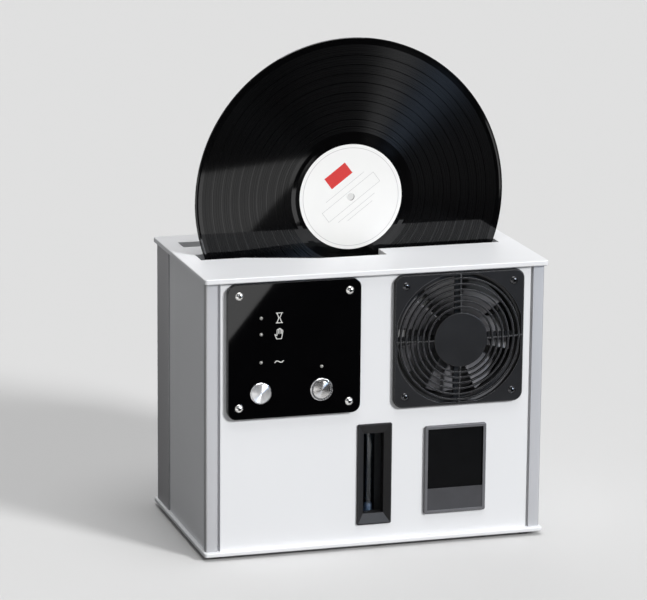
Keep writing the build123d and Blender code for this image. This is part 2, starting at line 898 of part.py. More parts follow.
def badge_plate():
    outline = RectangleRounded(badge_width, badge_height, badge_corner)
    plate = front_solid(outline, badge_x, -face_y, low_row_z, badge_thick)
    plate = fillet(plate.faces().sort_by(Axis.Y)[0].edges(), badge_edge_round)
    front = -face_y - badge_thick
    x0 = badge_x - badge_width / 2 + badge_rim
    x1 = badge_x + badge_width / 2 - badge_rim
    bottom = low_row_z - badge_height / 2 + badge_rim
    top = low_row_z + badge_height / 2 - badge_rim
    split = bottom + badge_split
    plate -= block(x0, x1, front - overcut, front + badge_upper_depth, split, top)
    return plate - block(x0, x1, front - overcut, front + badge_lower_depth, bottom, split)


# ---------------------------------------------------------------- record and the wheels under it


def record_disc():
    # half section on one face of the record, from the hole to the rim, then mirrored to the other
    rim = record_radius
    face = [
        (spindle_hole_radius, record_label_half),
        (record_field_inner - record_land_slope, record_label_half),
        (record_field_inner, record_field_half),
        (rim - record_rim_width, record_field_half),
        (rim - record_rim_width / 2, record_rim_half),
        (rim - record_rim_chamfer, record_rim_half),
        (rim, record_rim_half - record_rim_chamfer),
    ]
    profile = face + [(x, -y) for x, y in reversed(face)]
    disc = revolve(make_face(Polyline(*profile, close=True)), Axis.Y)
    return Pos(record_x, 0, record_z) * disc


def record_labels():
    label = Circle(label_radius) - Circle(spindle_hole_radius)
    front = front_solid(label, record_x, -record_label_half, record_z, label_thick)
    back = front_solid(label, record_x, record_label_half + label_thick, record_z, label_thick)
    return [front, back]


def grooved_wheel():
    half = wheel_width / 2
    profile = Polyline(
        (0, -half),
        (wheel_flange_radius, -half),
        (wheel_flange_radius, -wheel_groove_mouth / 2),
        (wheel_groove_radius, -wheel_groove_floor / 2),
        (wheel_groove_radius, wheel_groove_floor / 2),
        (wheel_flange_radius, wheel_groove_mouth / 2),
        (wheel_flange_radius, half),
        (0, half),
        close=True,
    )
    return revolve(make_face(profile), Axis.Y)


def drive_roller():
    wheel = Pos(drive_x, 0, wheel_z) * grooved_wheel()
    return wheel - rod_y(drive_x, wheel_z, axle_radius, -wheel_width, wheel_width)


def drive_shaft():
    front = -wheel_width / 2
    shaft = rod_y(drive_x, wheel_z, axle_radius, front, bath_neck_y + shaft_grip)
    return shaft + rod_y(drive_x, wheel_z, axle_radius + shaft_head, front - shaft_head, front)


def drive_motor():
    body = rod_y(drive_x, wheel_z, drive_motor_radius, bath_neck_y, bath_neck_y + drive_motor_length)
    body = chamfer(body.faces().sort_by(Axis.Y)[-1].edges(), motor_chamfer)
    bore_end = bath_neck_y + shaft_grip + bore_end_gap
    return body - rod_y(drive_x, wheel_z, bearing_radius, bath_neck_y - overcut, bore_end)


def idler_roller():
    wheel = Pos(idler_x, 0, wheel_z) * grooved_wheel()
    journal_end = -bath_neck_y - axle_boss_length
    return wheel + rod_y(idler_x, wheel_z, axle_radius, journal_end, 0)


# ---------------------------------------------------------------- bath, deck and reservoir


def brush_spots():
    # name, place and lowest and highest gear level of each brush
    return [
        ("front_left", -brush_far_x, -brush_y, level_a, level_a + gear_thick),
        ("front_right", brush_near_x, -brush_y, level_a, level_b + gear_thick),
        ("rear_left", -brush_near_x, brush_y, level_c, level_d + gear_thick),
        ("rear_right", brush_far_x, brush_y, level_d, level_d + gear_thick),
    ]


def cleaning_bath():
    # sheets mitred round the outline of the slot, welded to a floor
    inner = slot_outline(bath_margin)
    outer = slot_outline(bath_margin + bath_wall)
    walls = []
    for count in range(len(inner)):
        after = (count + 1) % len(inner)
        corners = [inner[count], inner[after], outer[after], outer[count]]
        walls.append(prism(corners, bath_floor, bath_rim))
    floor = prism(outer, deck_top, bath_floor)
    for name, x, y, z0, z1 in brush_spots():
        floor -= rod_z(x, y, bearing_radius, deck_top - overcut, bath_floor + overcut)
    boss = rod_y(idler_x, wheel_z, axle_boss_radius, -bath_neck_y - axle_boss_length, -bath_neck_y)
    bores = rod_y(idler_x, wheel_z, bearing_radius, -plate_half_y, 0)
    bores += rod_y(drive_x, wheel_z, bearing_radius, 0, plate_half_y)
    walls = [wall - bores for wall in walls]
    return [floor, boss - bores] + walls


def bath_deck():
    deck = block(-tank_half_x, tank_half_x, tank_front, tank_back, tank_top, deck_top)
    holes = [(x, y, bearing_radius) for name, x, y, z0, z1 in brush_spots()]
    holes.append((motor_x, motor_y, motor_hole_radius))
    holes.append((filter_x, filter_y, filter_radius + filter_hole_gap))
    holes.append((suction_x, pump_y, hose_radius + seat_gap))
    for x, y, radius in holes:
        deck -= rod_z(x, y, radius, tank_top - overcut, deck_top + overcut)
    for x, y in ((0, 0), (transfer_x, transfer_y)):
        deck += rod_z(x, y, pin_radius, lid_top + pin_floor_gap, tank_top)
    return deck


def reservoir():
    # welded sheets; the lid is let in below the rim, and the brush gears run in the space over it
    x = tank_half_x
    inner_x = x - sheet
    y0 = tank_front + sheet
    y1 = tank_back - sheet
    z0 = floor_z + sheet
    floor = block(-x, x, tank_front, tank_back, floor_z, z0)
    front = block(-x, x, tank_front, y0, z0, tank_top)
    back = block(-x, x, y1, tank_back, z0, tank_top)
    left = block(-x, -inner_x, y0, y1, z0, tank_top)
    right = block(inner_x, x, y0, y1, z0, tank_top)
    lid = block(-inner_x, inner_x, y0, y1, tank_lid_z, lid_top)
    lid -= rod_z(filter_x, filter_y, filter_drain_radius, tank_lid_z - overcut, lid_top + overcut)
    lid -= rod_z(suction_x, pump_y, hose_radius + seat_gap, tank_lid_z - overcut, lid_top + overcut)
    back -= rod_y(drain_x, drain_z, drain_radius + hole_gap, y1 - overcut, tank_back + overcut)
    return [floor, front, back, left, right, lid]


# ---------------------------------------------------------------- brushes and gears


def gear_outline(teeth, turn):
    # straight-flanked teeth with backlash; turn is the angle of the first tooth, in radians
    pitch_radius = gear_module * teeth / 2
    root = pitch_radius - tooth_dedendum * gear_module
    tip = pitch_radius + tooth_addendum * gear_module
    tooth_pitch = math.pi * gear_module
    root_angle = tooth_root_share * tooth_pitch / root
    tip_angle = tooth_tip_share * tooth_pitch / tip
    points = []
    for count in range(teeth):
        middle = turn + 2 * math.pi * count / teeth
        for radius, angle in ((root, -root_angle), (tip, -tip_angle), (tip, tip_angle), (root, root_angle)):
            points.append((radius * math.cos(middle + angle), radius * math.sin(middle + angle)))
    return points


def gear(x, y, teeth, turn, z0, z1):
    return Pos(x, y, 0) * prism(gear_outline(teeth, turn), z0, z1)


def meshed_turn(turn, teeth, other_teeth, spot, other_spot):
    # angle of the other gear's first tooth, so that its gaps take this gear's teeth
    line = math.atan2(other_spot[1] - spot[1], other_spot[0] - spot[0])
    return line + math.pi - teeth / other_teeth * (turn - line) + math.pi / other_teeth


def gear_turns():
    spots = {name: (x, y) for name, x, y, z0, z1 in brush_spots()}
    spots["cross"] = (0, 0)
    spots["transfer"] = (transfer_x, transfer_y)
    spots["motor"] = (motor_x, motor_y)
    teeth = {name: brush_teeth for name in spots}
    teeth.update(cross=cross_teeth, transfer=transfer_teeth, motor=motor_teeth)
    turns = {"front_left": 0.0}
    meshes = [
        ("front_left", "front_right"), ("front_right", "cross"), ("cross", "rear_left"),
        ("rear_left", "rear_right"), ("front_left", "transfer"), ("transfer", "motor"),
    ]
    for one, other in meshes:
        turns[other] = meshed_turn(turns[one], teeth[one], teeth[other], spots[one], spots[other])
    return turns


def brush_spindle(name, x, y, z0, z1):
    spindle = rod_z(x, y, axle_radius, lid_top + seat_gap, brush_top + brush_cap_thick)
    spindle += gear(x, y, brush_teeth, gear_turns()[name], z0, z1)
    spindle += rod_z(x, y, brush_core_radius, brush_bottom, brush_top)
    for z in (brush_bottom - brush_cap_thick, brush_top):
        spindle += rod_z(x, y, brush_cap_radius, z, z + brush_cap_thick)
    return spindle


def brush_sleeve(x, y):
    return rod_z(x, y, brush_radius, brush_bottom, brush_top) - rod_z(x, y, brush_core_radius, 0, case_top)


def pinned_gear(name, x, y, teeth, z0, z1):
    body = gear(x, y, teeth, gear_turns()[name], z0, z1)
    return body - rod_z(x, y, pin_radius + running_gap, z0 - overcut, z1 + overcut)


def motor_pinion():
    pinion = gear(motor_x, motor_y, motor_teeth, gear_turns()["motor"], level_a, level_a + gear_thick)
    shaft_top = deck_top + motor_shaft_grip
    return pinion + rod_z(motor_x, motor_y, pin_radius, level_a - motor_shaft_drop, shaft_top)


def brush_motor():
    body = rod_z(motor_x, motor_y, brush_motor_radius, deck_top, deck_top + brush_motor_length)
    body = chamfer(body.faces().sort_by(Axis.Z)[-1].edges(), motor_chamfer)
    bore_end = deck_top + motor_shaft_grip + bore_end_gap
    return body - rod_z(motor_x, motor_y, pin_radius + running_gap, deck_top - overcut, bore_end)


# ---------------------------------------------------------------- other inner pieces


def transducer():
    # bonded to the ramp wall of the bath, square to it
    outline = slot_outline(bath_margin + bath_wall)
    start = Vector(*outline[1])
    end = Vector(*outline[2])
    ramp = end - start
    middle = (start + end) * 0.5 + Vector(0, 0, transducer_z)
    plane = Plane(middle, x_dir=(0, 0, 1), z_dir=(ramp.Y, -ramp.X, 0))
    horn = extrude(plane * Circle(transducer_radius), transducer_horn)
    stack = extrude(plane * Circle(transducer_stack_radius), transducer_length)
    return horn + stack


def pump():
    motor = rod_x(pump_y, pump_z, pump_radius, pump_x0, pump_x1)
    motor = chamfer(motor.faces().sort_by(Axis.X)[0].edges(), pump_chamfer)
    head = rod_x(pump_y, pump_z, pump_head_radius, pump_x1, pump_x2)
    inlet = rod_x(pump_y, pump_z, barb_radius, pump_x2, pump_x2 + barb_length)
    outlet = rod_z(pump_outlet_x, pump_y, barb_radius, pump_z, pump_outlet_z)
    saddle = block(
        pump_x0 + saddle_inset, pump_x1 - saddle_inset,
        pump_y - saddle_half_width, pump_y + saddle_half_width,
        deck_top, pump_z - pump_radius + saddle_sink,
    )
    return motor + head + inlet + outlet + saddle


def hose(points, bend):
    path = FilletPolyline(*points, radius=bend)
    start = Vector(*points[1]) - Vector(*points[0])
    return sweep(Plane(points[0], z_dir=start) * Circle(hose_radius), path=path)


def water_hoses():
    suction = hose([
        (pump_x2 + barb_length, pump_y, pump_z),
        (suction_x, pump_y, pump_z),
        (suction_x, pump_y, suction_bottom),
    ], suction_bend)
    supply = hose([
        (pump_outlet_x, pump_y, pump_outlet_z),
        (pump_outlet_x, pump_y, supply_z),
        (pump_outlet_x, slot_feed_y + bath_margin + bath_wall, supply_z),
    ], supply_bend)
    return [suction, supply]


def filter_core():
    rod = rod_z(filter_x, filter_y, filter_rod_radius, filter_rod_bottom, filter_knob_bottom)
    knob = rod_z(filter_x, filter_y, filter_knob_radius, filter_knob_bottom, filter_knob_top)
    return rod + fillet(knob.edges().filter_by(GeomType.CIRCLE), filter_knob_round)


def filter_foam():
    foam = rod_z(filter_x, filter_y, filter_radius, lid_top + seat_gap, filter_top)
    return foam - rod_z(filter_x, filter_y, filter_rod_radius, filter_rod_bottom, filter_top + overcut)


def generator_board():
    # power stage for the transducer, on the rear panel, with a finned heat sink and two coils
    front = generator_board_y
    back = front + board_thick
    board = block(generator_x0, generator_x1, front, back, generator_z0, generator_z1)
    posts = board_posts(
        generator_x0 + board_post_inset, generator_x1 - board_post_inset,
        generator_z0 + board_post_inset, generator_z1 - board_post_inset,
        back, panel_back_y,
    )
    sink_x = generator_x0 + 2 * sink_inset
    sink_z0 = generator_z0 + sink_inset
    sink_z1 = generator_z1 - sink_inset
    board += block(sink_x, sink_x + sink_width, front - sink_base_thick, front, sink_z0, sink_z1)
    fin_pitch = (sink_width - sink_fin_thick) / (sink_fin_count - 1)
    fin_front = front - sink_base_thick - sink_fin_depth
    for count in range(sink_fin_count):
        x = sink_x + count * fin_pitch
        board += block(x, x + sink_fin_thick, fin_front, front - sink_base_thick, sink_z0, sink_z1)
    coil_x = generator_x1 - 2 * sink_inset - coil_radius
    for side in (-1, 1):
        coil_z = (generator_z0 + generator_z1 + side * coil_pitch) / 2
        board += rod_y(coil_x, coil_z, coil_radius, front - coil_depth, front)
    for post in posts:
        board += post
    return board


def power_inlet():
    # low-voltage socket: flange outside, nut inside, centre pin in a blind bore
    outer_y = face_y + inlet_flange_thick
    inner_y = face_y - inlet_depth
    rim = rod_y(inlet_x, inlet_z, inlet_flange_radius, face_y, outer_y)
    rim = chamfer(rim.faces().sort_by(Axis.Y)[-1].edges(), inlet_flange_chamfer)
    nut = front_solid(RegularPolygon(inlet_nut_radius, 6), inlet_x, panel_back_y, inlet_z, inlet_nut_thick)
    body = rim + rod_y(inlet_x, inlet_z, inlet_radius, inner_y, face_y) + nut
    body -= rod_y(inlet_x, inlet_z, inlet_bore, inner_y + inlet_floor, outer_y + overcut)
    return body + rod_y(inlet_x, inlet_z, inlet_pin, inner_y, face_y)


def drain_plug():
    outer_y = face_y + drain_head_proud
    head = rod_y(drain_x, drain_z, drain_head_radius, face_y, outer_y)
    head = chamfer(head.faces().sort_by(Axis.Y)[-1].edges(), drain_head_chamfer)
    for count in range(drain_grip_count):
        angle = 2 * math.pi * count / drain_grip_count
        x = drain_x + drain_head_radius * math.cos(angle)
        z = drain_z + drain_head_radius * math.sin(angle)
        head -= rod_y(x, z, drain_grip_radius, face_y, outer_y + overcut)
    return head + rod_y(drain_x, drain_z, drain_radius, tank_back - sheet, face_y)


# ---------------------------------------------------------------- build

save("base_plate", case_plate(foot_height, floor_z))
save("feet", *feet())
save("top_plate", top_plate())
save("front_left_column", column(-1, -1, front_side_lip))
save("front_right_column", column(1, -1, front_side_lip))
save("rear_left_column", column(-1, 1, rear_side_lip))
save("rear_right_column", column(1, 1, rear_side_lip))
save("front_panel", front_panel())
save("rear_panel", rear_panel())
save("left_panel", side_panel(-1))
save("right_panel", side_panel(1))

save("control_panel", control_panel())
save("panel_screws", *panel_screws())
save("indicator_lights", *indicator_lights())
save("start_switch", switch_body(start_x, start_cap_radius, start_ring_width))
save("power_switch", switch_body(power_x, power_cap_radius, power_ring_width))
save("start_button", button_cap(start_x, start_cap_radius))
save("power_button", button_cap(power_x, power_cap_radius))
save("control_board", control_board())

guard = fan_guard()
frame = fan_frame()
rotor = fan_rotor()
duct = air_duct()
save("front_fan_guard", guard)
save("front_fan_frame", frame)
save("front_fan_rotor", rotor)
save("front_air_duct", duct)
save("rear_fan_guard", to_rear(guard))
save("rear_fan_frame", to_rear(frame))
save("rear_fan_rotor", to_rear(rotor))
save("rear_air_duct", to_rear(duct))

save("sight_bezel", sight_bezel())
save("sight_tube", sight_tube())
save("level_float", level_float())
save("badge_plate", badge_plate())

save("record_disc", record_disc())
save("record_labels", *record_labels())
save("drive_roller", drive_roller())
save("drive_shaft", drive_shaft())
save("drive_motor", drive_motor())
save("idler_roller", idler_roller())

save("cleaning_bath", *cleaning_bath())
save("bath_deck", bath_deck())
save("reservoir", *reservoir())

for name, x, y, z0, z1 in brush_spots():
    save("brush_spindle_" + name, brush_spindle(name, x, y, z0, z1))
    save("brush_sleeve_" + name, brush_sleeve(x, y))
save("cross_pinion", pinned_gear("cross", 0, 0, cross_teeth, level_b, level_c + gear_thick))
transfer_top = level_a + gear_thick
save("transfer_gear", pinned_gear("transfer", transfer_x, transfer_y, transfer_teeth, level_a, transfer_top))
save("motor_pinion", motor_pinion())
save("brush_motor", brush_motor())

save("transducer", transducer())
save("pump", pump())
save("water_hoses", *water_hoses())
save("filter_core", filter_core())
save("filter_foam", filter_foam())
save("generator_board", generator_board())
save("power_inlet", power_inlet())
save("drain_plug", drain_plug())
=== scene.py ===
import math
import bpy
from mathutils import Matrix, Vector


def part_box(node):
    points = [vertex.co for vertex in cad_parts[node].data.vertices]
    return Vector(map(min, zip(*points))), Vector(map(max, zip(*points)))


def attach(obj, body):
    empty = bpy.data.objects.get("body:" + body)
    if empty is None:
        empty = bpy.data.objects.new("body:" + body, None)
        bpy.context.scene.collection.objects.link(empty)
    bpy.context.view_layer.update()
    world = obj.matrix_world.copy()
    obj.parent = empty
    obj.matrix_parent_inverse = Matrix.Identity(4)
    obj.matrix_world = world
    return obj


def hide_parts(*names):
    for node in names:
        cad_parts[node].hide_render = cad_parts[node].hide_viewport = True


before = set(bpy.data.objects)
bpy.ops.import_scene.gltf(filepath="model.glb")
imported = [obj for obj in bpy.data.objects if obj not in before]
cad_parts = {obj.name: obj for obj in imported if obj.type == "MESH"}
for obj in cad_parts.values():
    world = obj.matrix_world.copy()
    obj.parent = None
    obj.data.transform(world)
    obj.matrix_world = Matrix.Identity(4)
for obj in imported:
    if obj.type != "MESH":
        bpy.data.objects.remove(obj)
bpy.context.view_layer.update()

print("frame loaded:", len(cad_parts), "nodes")

mm = 0.001


# small helpers for node trees

def feed(tree, socket, value):
    # links an output, or sets a plain value; colours come without their alpha
    if isinstance(value, bpy.types.NodeSocket):
        tree.links.new(value, socket)
    elif socket.type == "RGBA":
        socket.default_value = (*value, 1)
    else:
        socket.default_value = value


def addNode(tree, kind, inputs, **settings):
    node = tree.nodes.new("ShaderNode" + kind)
    for label, value in settings.items():
        setattr(node, label, value)
    for label, value in inputs.items():
        feed(tree, node.inputs[label], value)
    return node


def mathNode(tree, operation, first, second=None, clamp=False):
    values = {0: first} if second is None else {0: first, 1: second}
    return addNode(tree, "Math", values, operation=operation, use_clamp=clamp).outputs[0]


def vectorNode(tree, operation, first, second=None, output="Vector"):
    values = {0: first} if second is None else {0: first, 1: second}
    return addNode(tree, "VectorMath", values, operation=operation).outputs[output]


def scaled(tree, vector, factor):
    return addNode(tree, "VectorMath", {0: vector, "Scale": factor}, operation="SCALE").outputs[0]


def mixColor(tree, factor, first, second):
    values = {"Factor": factor, "A": first, "B": second}
    return addNode(tree, "Mix", values, data_type="RGBA").outputs["Result"]


def remap(tree, value, low, high, first=0, last=1):
    values = {"Value": value, "From Min": low, "From Max": high, "To Min": first, "To Max": last}
    return addNode(tree, "MapRange", values).outputs["Result"]


def noiseNode(tree, vector, scale, detail):
    values = {"Vector": vector, "Scale": scale, "Detail": detail}
    return addNode(tree, "TexNoise", values).outputs["Fac"]


def splitAxes(tree, vector):
    return addNode(tree, "SeparateXYZ", {"Vector": vector}).outputs


def allOf(tree, masks):
    total = masks[0]
    for mask in masks[1:]:
        total = mathNode(tree, "MULTIPLY", total, mask)
    return total


def anyOf(tree, masks):
    total = masks[0]
    for mask in masks[1:]:
        total = mathNode(tree, "MAXIMUM", total, mask)
    return total


def newMaterial(name, fixed):
    material = bpy.data.materials.new(name)
    material.use_nodes = True
    tree = material.node_tree
    paint = tree.nodes["Principled BSDF"]
    for label, value in fixed.items():
        feed(tree, paint.inputs[label], value)
    return material, tree, paint


# camera and lamps

shot = {"place": (-0.9159, -2.9581, 0.9412), "yaw": -16.778, "pitch": -13.184, "roll": -0.482,
        "lens": 187.47, "farthest": 60}


def turned(degrees, axis):
    return Matrix.Rotation(math.radians(degrees), 4, axis)


def addCamera(shot):
    bpy.ops.object.camera_add()
    camera = bpy.context.object
    camera.name = "frontCamera"
    camera.data.lens = shot["lens"]
    camera.data.clip_end = shot["farthest"]
    aim = turned(shot["yaw"], "Z") @ turned(shot["pitch"], "X") @ turned(shot["roll"], "Y")
    camera.matrix_world = Matrix.Translation(shot["place"]) @ aim @ turned(90, "X")
    bpy.context.scene.camera = camera


lamps = {
    "key": {"toLight": (0.52, -0.745, 0.417), "power": 2.66, "spread": 12},
    "top": {"toLight": (0.05, -0.2, 0.97), "power": 1.45, "spread": 40},
    "back": {"toLight": (0.15, 0.98, 0.12), "power": 1.2, "spread": 40, "gloss": False},
}


def addLamp(name, lamp):
    bpy.ops.object.light_add(type="SUN")
    light = bpy.context.object
    light.name = name + "Lamp"
    light.data.energy = lamp["power"]
    light.data.angle = math.radians(lamp["spread"])
    light.visible_glossy = lamp.get("gloss", True)
    light.rotation_euler = Vector(lamp["toLight"]).to_track_quat("Z", "Y").to_euler()


# floor and sky: pale where they are seen or reflected, dimmer in the light that they give

studio = {"floorShown": 0.67, "floorBounce": 0.22, "floorRough": 0.9, "floorSize": 40,
          "skyShown": 0.7, "skyLight": 0.25}


def shownMask(tree):
    # 1 where the camera sees it, directly, reflected or through glass, and 0 for bounced light
    path = addNode(tree, "LightPath", {}).outputs
    return anyOf(tree, [path["Is Camera Ray"], path["Is Glossy Ray"], path["Is Transmission Ray"]])


def addStudio(studio):
    bpy.ops.mesh.primitive_plane_add(size=studio["floorSize"])
    floor = bpy.context.object
    floor.name = "floor"
    look, tree, paint = newMaterial("floorPaper", {
        "Roughness": studio["floorRough"],
        "Specular IOR Level": 0,  # or it would mirror the cards that lie on it
    })
    tones = [(studio[label],) * 3 for label in ("floorBounce", "floorShown")]
    feed(tree, paint.inputs["Base Color"], mixColor(tree, shownMask(tree), *tones))
    floor.data.materials.append(look)
    world = bpy.data.worlds.new("studio")
    bpy.context.scene.world = world
    world.use_nodes = True
    tree = world.node_tree
    sky = tree.nodes["Background"].inputs
    feed(tree, sky["Color"], (1, 1, 1))
    feed(tree, sky["Strength"],
         remap(tree, shownMask(tree), 0, 1, studio["skyLight"], studio["skyShown"]))


# cards that only reflections see: a pale sheet in front, a dark room round it and two small lights
cards = {
    "paleSheet": {"place": (-0.7, -1.3, 0.0005), "size": (2.8, 1.9), "level": (1.5, 1.5, 1.5)},
    "darkRight": {"place": (4.199, -2.556, 0.001), "size": (6, 7.41), "turn": (0, 0, 25.7)},
    "darkFar": {"place": (-2.532, -3.738, 0.0015), "size": (10, 6), "turn": (0, 0, -23.6)},
    "darkNear": {"place": (0, 0.7, 0.002), "size": (4, 1.6)},
    "darkRoom": {"place": (0, -6, 6.01), "size": (20, 12), "turn": (90, 0, 0)},
    "cameraSide": {"place": (-0.83, -2.23, 1.06), "size": (0.5, 0.5), "turn": (90, 0, -20),
                   "level": (2.6, 2.9, 3.2)},
    "window": {"place": (1.58, -1.88, 0.89), "size": (0.3, 0.5), "turn": (90, 0, 40),
               "level": (44, 60, 86)},
}


def addCard(name, card):
    turn = [math.radians(angle) for angle in card.get("turn", (0, 0, 0))]
    bpy.ops.mesh.primitive_plane_add(size=1, location=card["place"], rotation=turn)
    plane = bpy.context.object
    plane.name = name
    plane.scale = (*card["size"], 1)
    bpy.ops.object.transform_apply(location=True, rotation=True, scale=True)
    look = newMaterial(name + "Glow", {
        "Base Color": (0, 0, 0), "Specular IOR Level": 0,
        "Emission Color": card.get("level", (0, 0, 0)), "Emission Strength": 1,
    })[0]
    plane.data.materials.append(look)
    plane.visible_camera = plane.visible_diffuse = plane.visible_shadow = False
    plane.visible_transmission = plane.visible_volume_scatter = False


bpy.context.scene.view_settings.view_transform = "Standard"
addCamera(shot)
for name, lamp in lamps.items():
    addLamp(name, lamp)
addStudio(studio)
for name, card in cards.items():
    addCard(name, card)
print("studio ready")


# effects that several materials share, as node groups

def newGroup(name, inputs, outputs):
    group = bpy.data.node_groups.new(name, "ShaderNodeTree")
    for label, kind, value in inputs:
        socket = group.interface.new_socket(label, in_out="INPUT", socket_type="NodeSocket" + kind)
        if value is not None:
            socket.default_value = value
    for label, kind in outputs:
        group.interface.new_socket(label, in_out="OUTPUT", socket_type="NodeSocket" + kind)
    given = group.nodes.new("NodeGroupInput").outputs
    made = group.nodes.new("NodeGroupOutput").inputs
    return group, given, made


def buildGrain():
    # slow clouding of colour and gloss, with a fine grain for the bump
    group, given, made = newGroup("finishGrain", [
        ("Vector", "Vector", None), ("Color", "Color", (0.5, 0.5, 0.5, 1)), ("Shade", "Float", 0.1),
        ("Roughness", "Float", 0.4), ("Spread", "Float", 0.1), ("Cloud Scale", "Float", 20),
        ("Grain Scale", "Float", 900),
    ], [("Color", "Color"), ("Roughness", "Float"), ("Height", "Float")])
    cloud = noiseNode(group, given["Vector"], given["Cloud Scale"], 4)
    grain = noiseNode(group, given["Vector"], given["Grain Scale"], 2)
    drift = mathNode(group, "SUBTRACT", cloud, 0.5)
    tone = mathNode(group, "ADD", 1, mathNode(group, "MULTIPLY", drift, given["Shade"]))
    gloss = mathNode(group, "MULTIPLY", drift, given["Spread"])
    feed(group, made["Color"], scaled(group, given["Color"], tone))
    feed(group, made["Roughness"], mathNode(group, "ADD", gloss, given["Roughness"], clamp=True))
    feed(group, made["Height"], grain)
    return group


def buildRings():
    # distance from an axis along Y, and fine turned lines round it
    group, given, made = newGroup("turnedRings", [
        ("Vector", "Vector", None), ("Lines", "Float", 2000),
    ], [("Radius", "Float"), ("Line", "Float")])
    flat = vectorNode(group, "MULTIPLY", given["Vector"], (1, 0, 1))
    radius = vectorNode(group, "LENGTH", flat, output="Value")
    jitter = addNode(group, "TexNoise", {"W": radius, "Scale": given["Lines"], "Detail": 3},
                     noise_dimensions="1D")
    feed(group, made["Radius"], radius)
    feed(group, made["Line"], jitter.outputs["Fac"])
    return group


def buildStroke():
    # a straight printed mark with round ends, between two points of the front face
    group, given, made = newGroup("inkStroke", [
        ("Vector", "Vector", None), ("Start", "Vector", (0, 0, 0)), ("End", "Vector", (0, 0, 1)),
        ("Half Width", "Float", 0.3 * mm),
    ], [("Mask", "Float")])
    flat = vectorNode(group, "MULTIPLY", given["Vector"], (1, 0, 1))
    reach = vectorNode(group, "SUBTRACT", flat, given["Start"])
    span = vectorNode(group, "SUBTRACT", given["End"], given["Start"])
    along = vectorNode(group, "DOT_PRODUCT", reach, span, "Value")
    whole = vectorNode(group, "DOT_PRODUCT", span, span, "Value")
    foot = scaled(group, span, mathNode(group, "DIVIDE", along, whole, clamp=True))
    away = vectorNode(group, "LENGTH", vectorNode(group, "SUBTRACT", reach, foot), output="Value")
    feed(group, made["Mask"], mathNode(group, "LESS_THAN", away, given["Half Width"]))
    return group


grainGroup = buildGrain()
ringGroup = buildRings()
strokeGroup = buildStroke()


def useGroup(tree, group, vector, values):
    return addNode(tree, "Group", {"Vector": vector, **values}, node_tree=group)


def placedVector(tree, centre=(0, 0, 0), stretch=(1, 1, 1)):
    # object coordinates, centred on a point of the piece and stretched along its grain
    coords = addNode(tree, "TexCoord", {})
    return addNode(tree, "Mapping", {
        "Vector": coords.outputs["Object"], "Scale": stretch,
        "Location": [-place * scale for place, scale in zip(centre, stretch)],
    }).outputs["Vector"]


grainDepth, ringDepth = 0.05, 0.02  # mm


def addBump(tree, height, strength, depth, edge=None):
    # strength is the share of the depth, in mm, that shows; edge is a normal to start from
    bump = addNode(tree, "Bump", {"Strength": strength, "Distance": depth * mm, "Height": height})
    if edge:
        feed(tree, bump.inputs["Normal"], edge)
    feed(tree, tree.nodes["Principled BSDF"].inputs["Normal"], bump.outputs["Normal"])


# the paler edge tone, partly wear and partly a painted highlight, starts and is full where the
# rounding has turned from the face by these cosines
edgeWearAndHighlight = {"samples": 4, "starts": 0.99, "full": 0.82}


def roundedEdge(tree, radius):
    # the normal of a small rounding over each edge
    rounding = addNode(tree, "Bevel", {"Radius": radius * mm}, samples=edgeWearAndHighlight["samples"])
    return rounding.outputs["Normal"]


def edgeMask(tree, edge):
    # 1 on the rounding, 0 on the flat of a face
    flat = addNode(tree, "NewGeometry", {}).outputs["Normal"]
    facing = vectorNode(tree, "DOT_PRODUCT", edge, flat, "Value")
    return remap(tree, facing, edgeWearAndHighlight["starts"], edgeWearAndHighlight["full"])


def stepMask(tree, value, edge, above=True):
    return mathNode(tree, "GREATER_THAN" if above else "LESS_THAN", value, edge)


def boxMask(tree, across, up, box):
    # 1 inside a box of the front face: left, right, bottom, top
    left, right, bottom, top = (side * mm for side in box)
    return allOf(tree, [stepMask(tree, across, left), stepMask(tree, across, right, above=False),
                        stepMask(tree, up, bottom), stepMask(tree, up, top, above=False)])


def bandMask(tree, value, centre, width, fade=0.25):
    # 1 within width of centre, fading quickly outside it
    gap = mathNode(tree, "ABSOLUTE", mathNode(tree, "SUBTRACT", value, centre * mm))
    inner = width * mm * 0.5
    return remap(tree, gap, inner, inner + fade * mm, 1, 0)
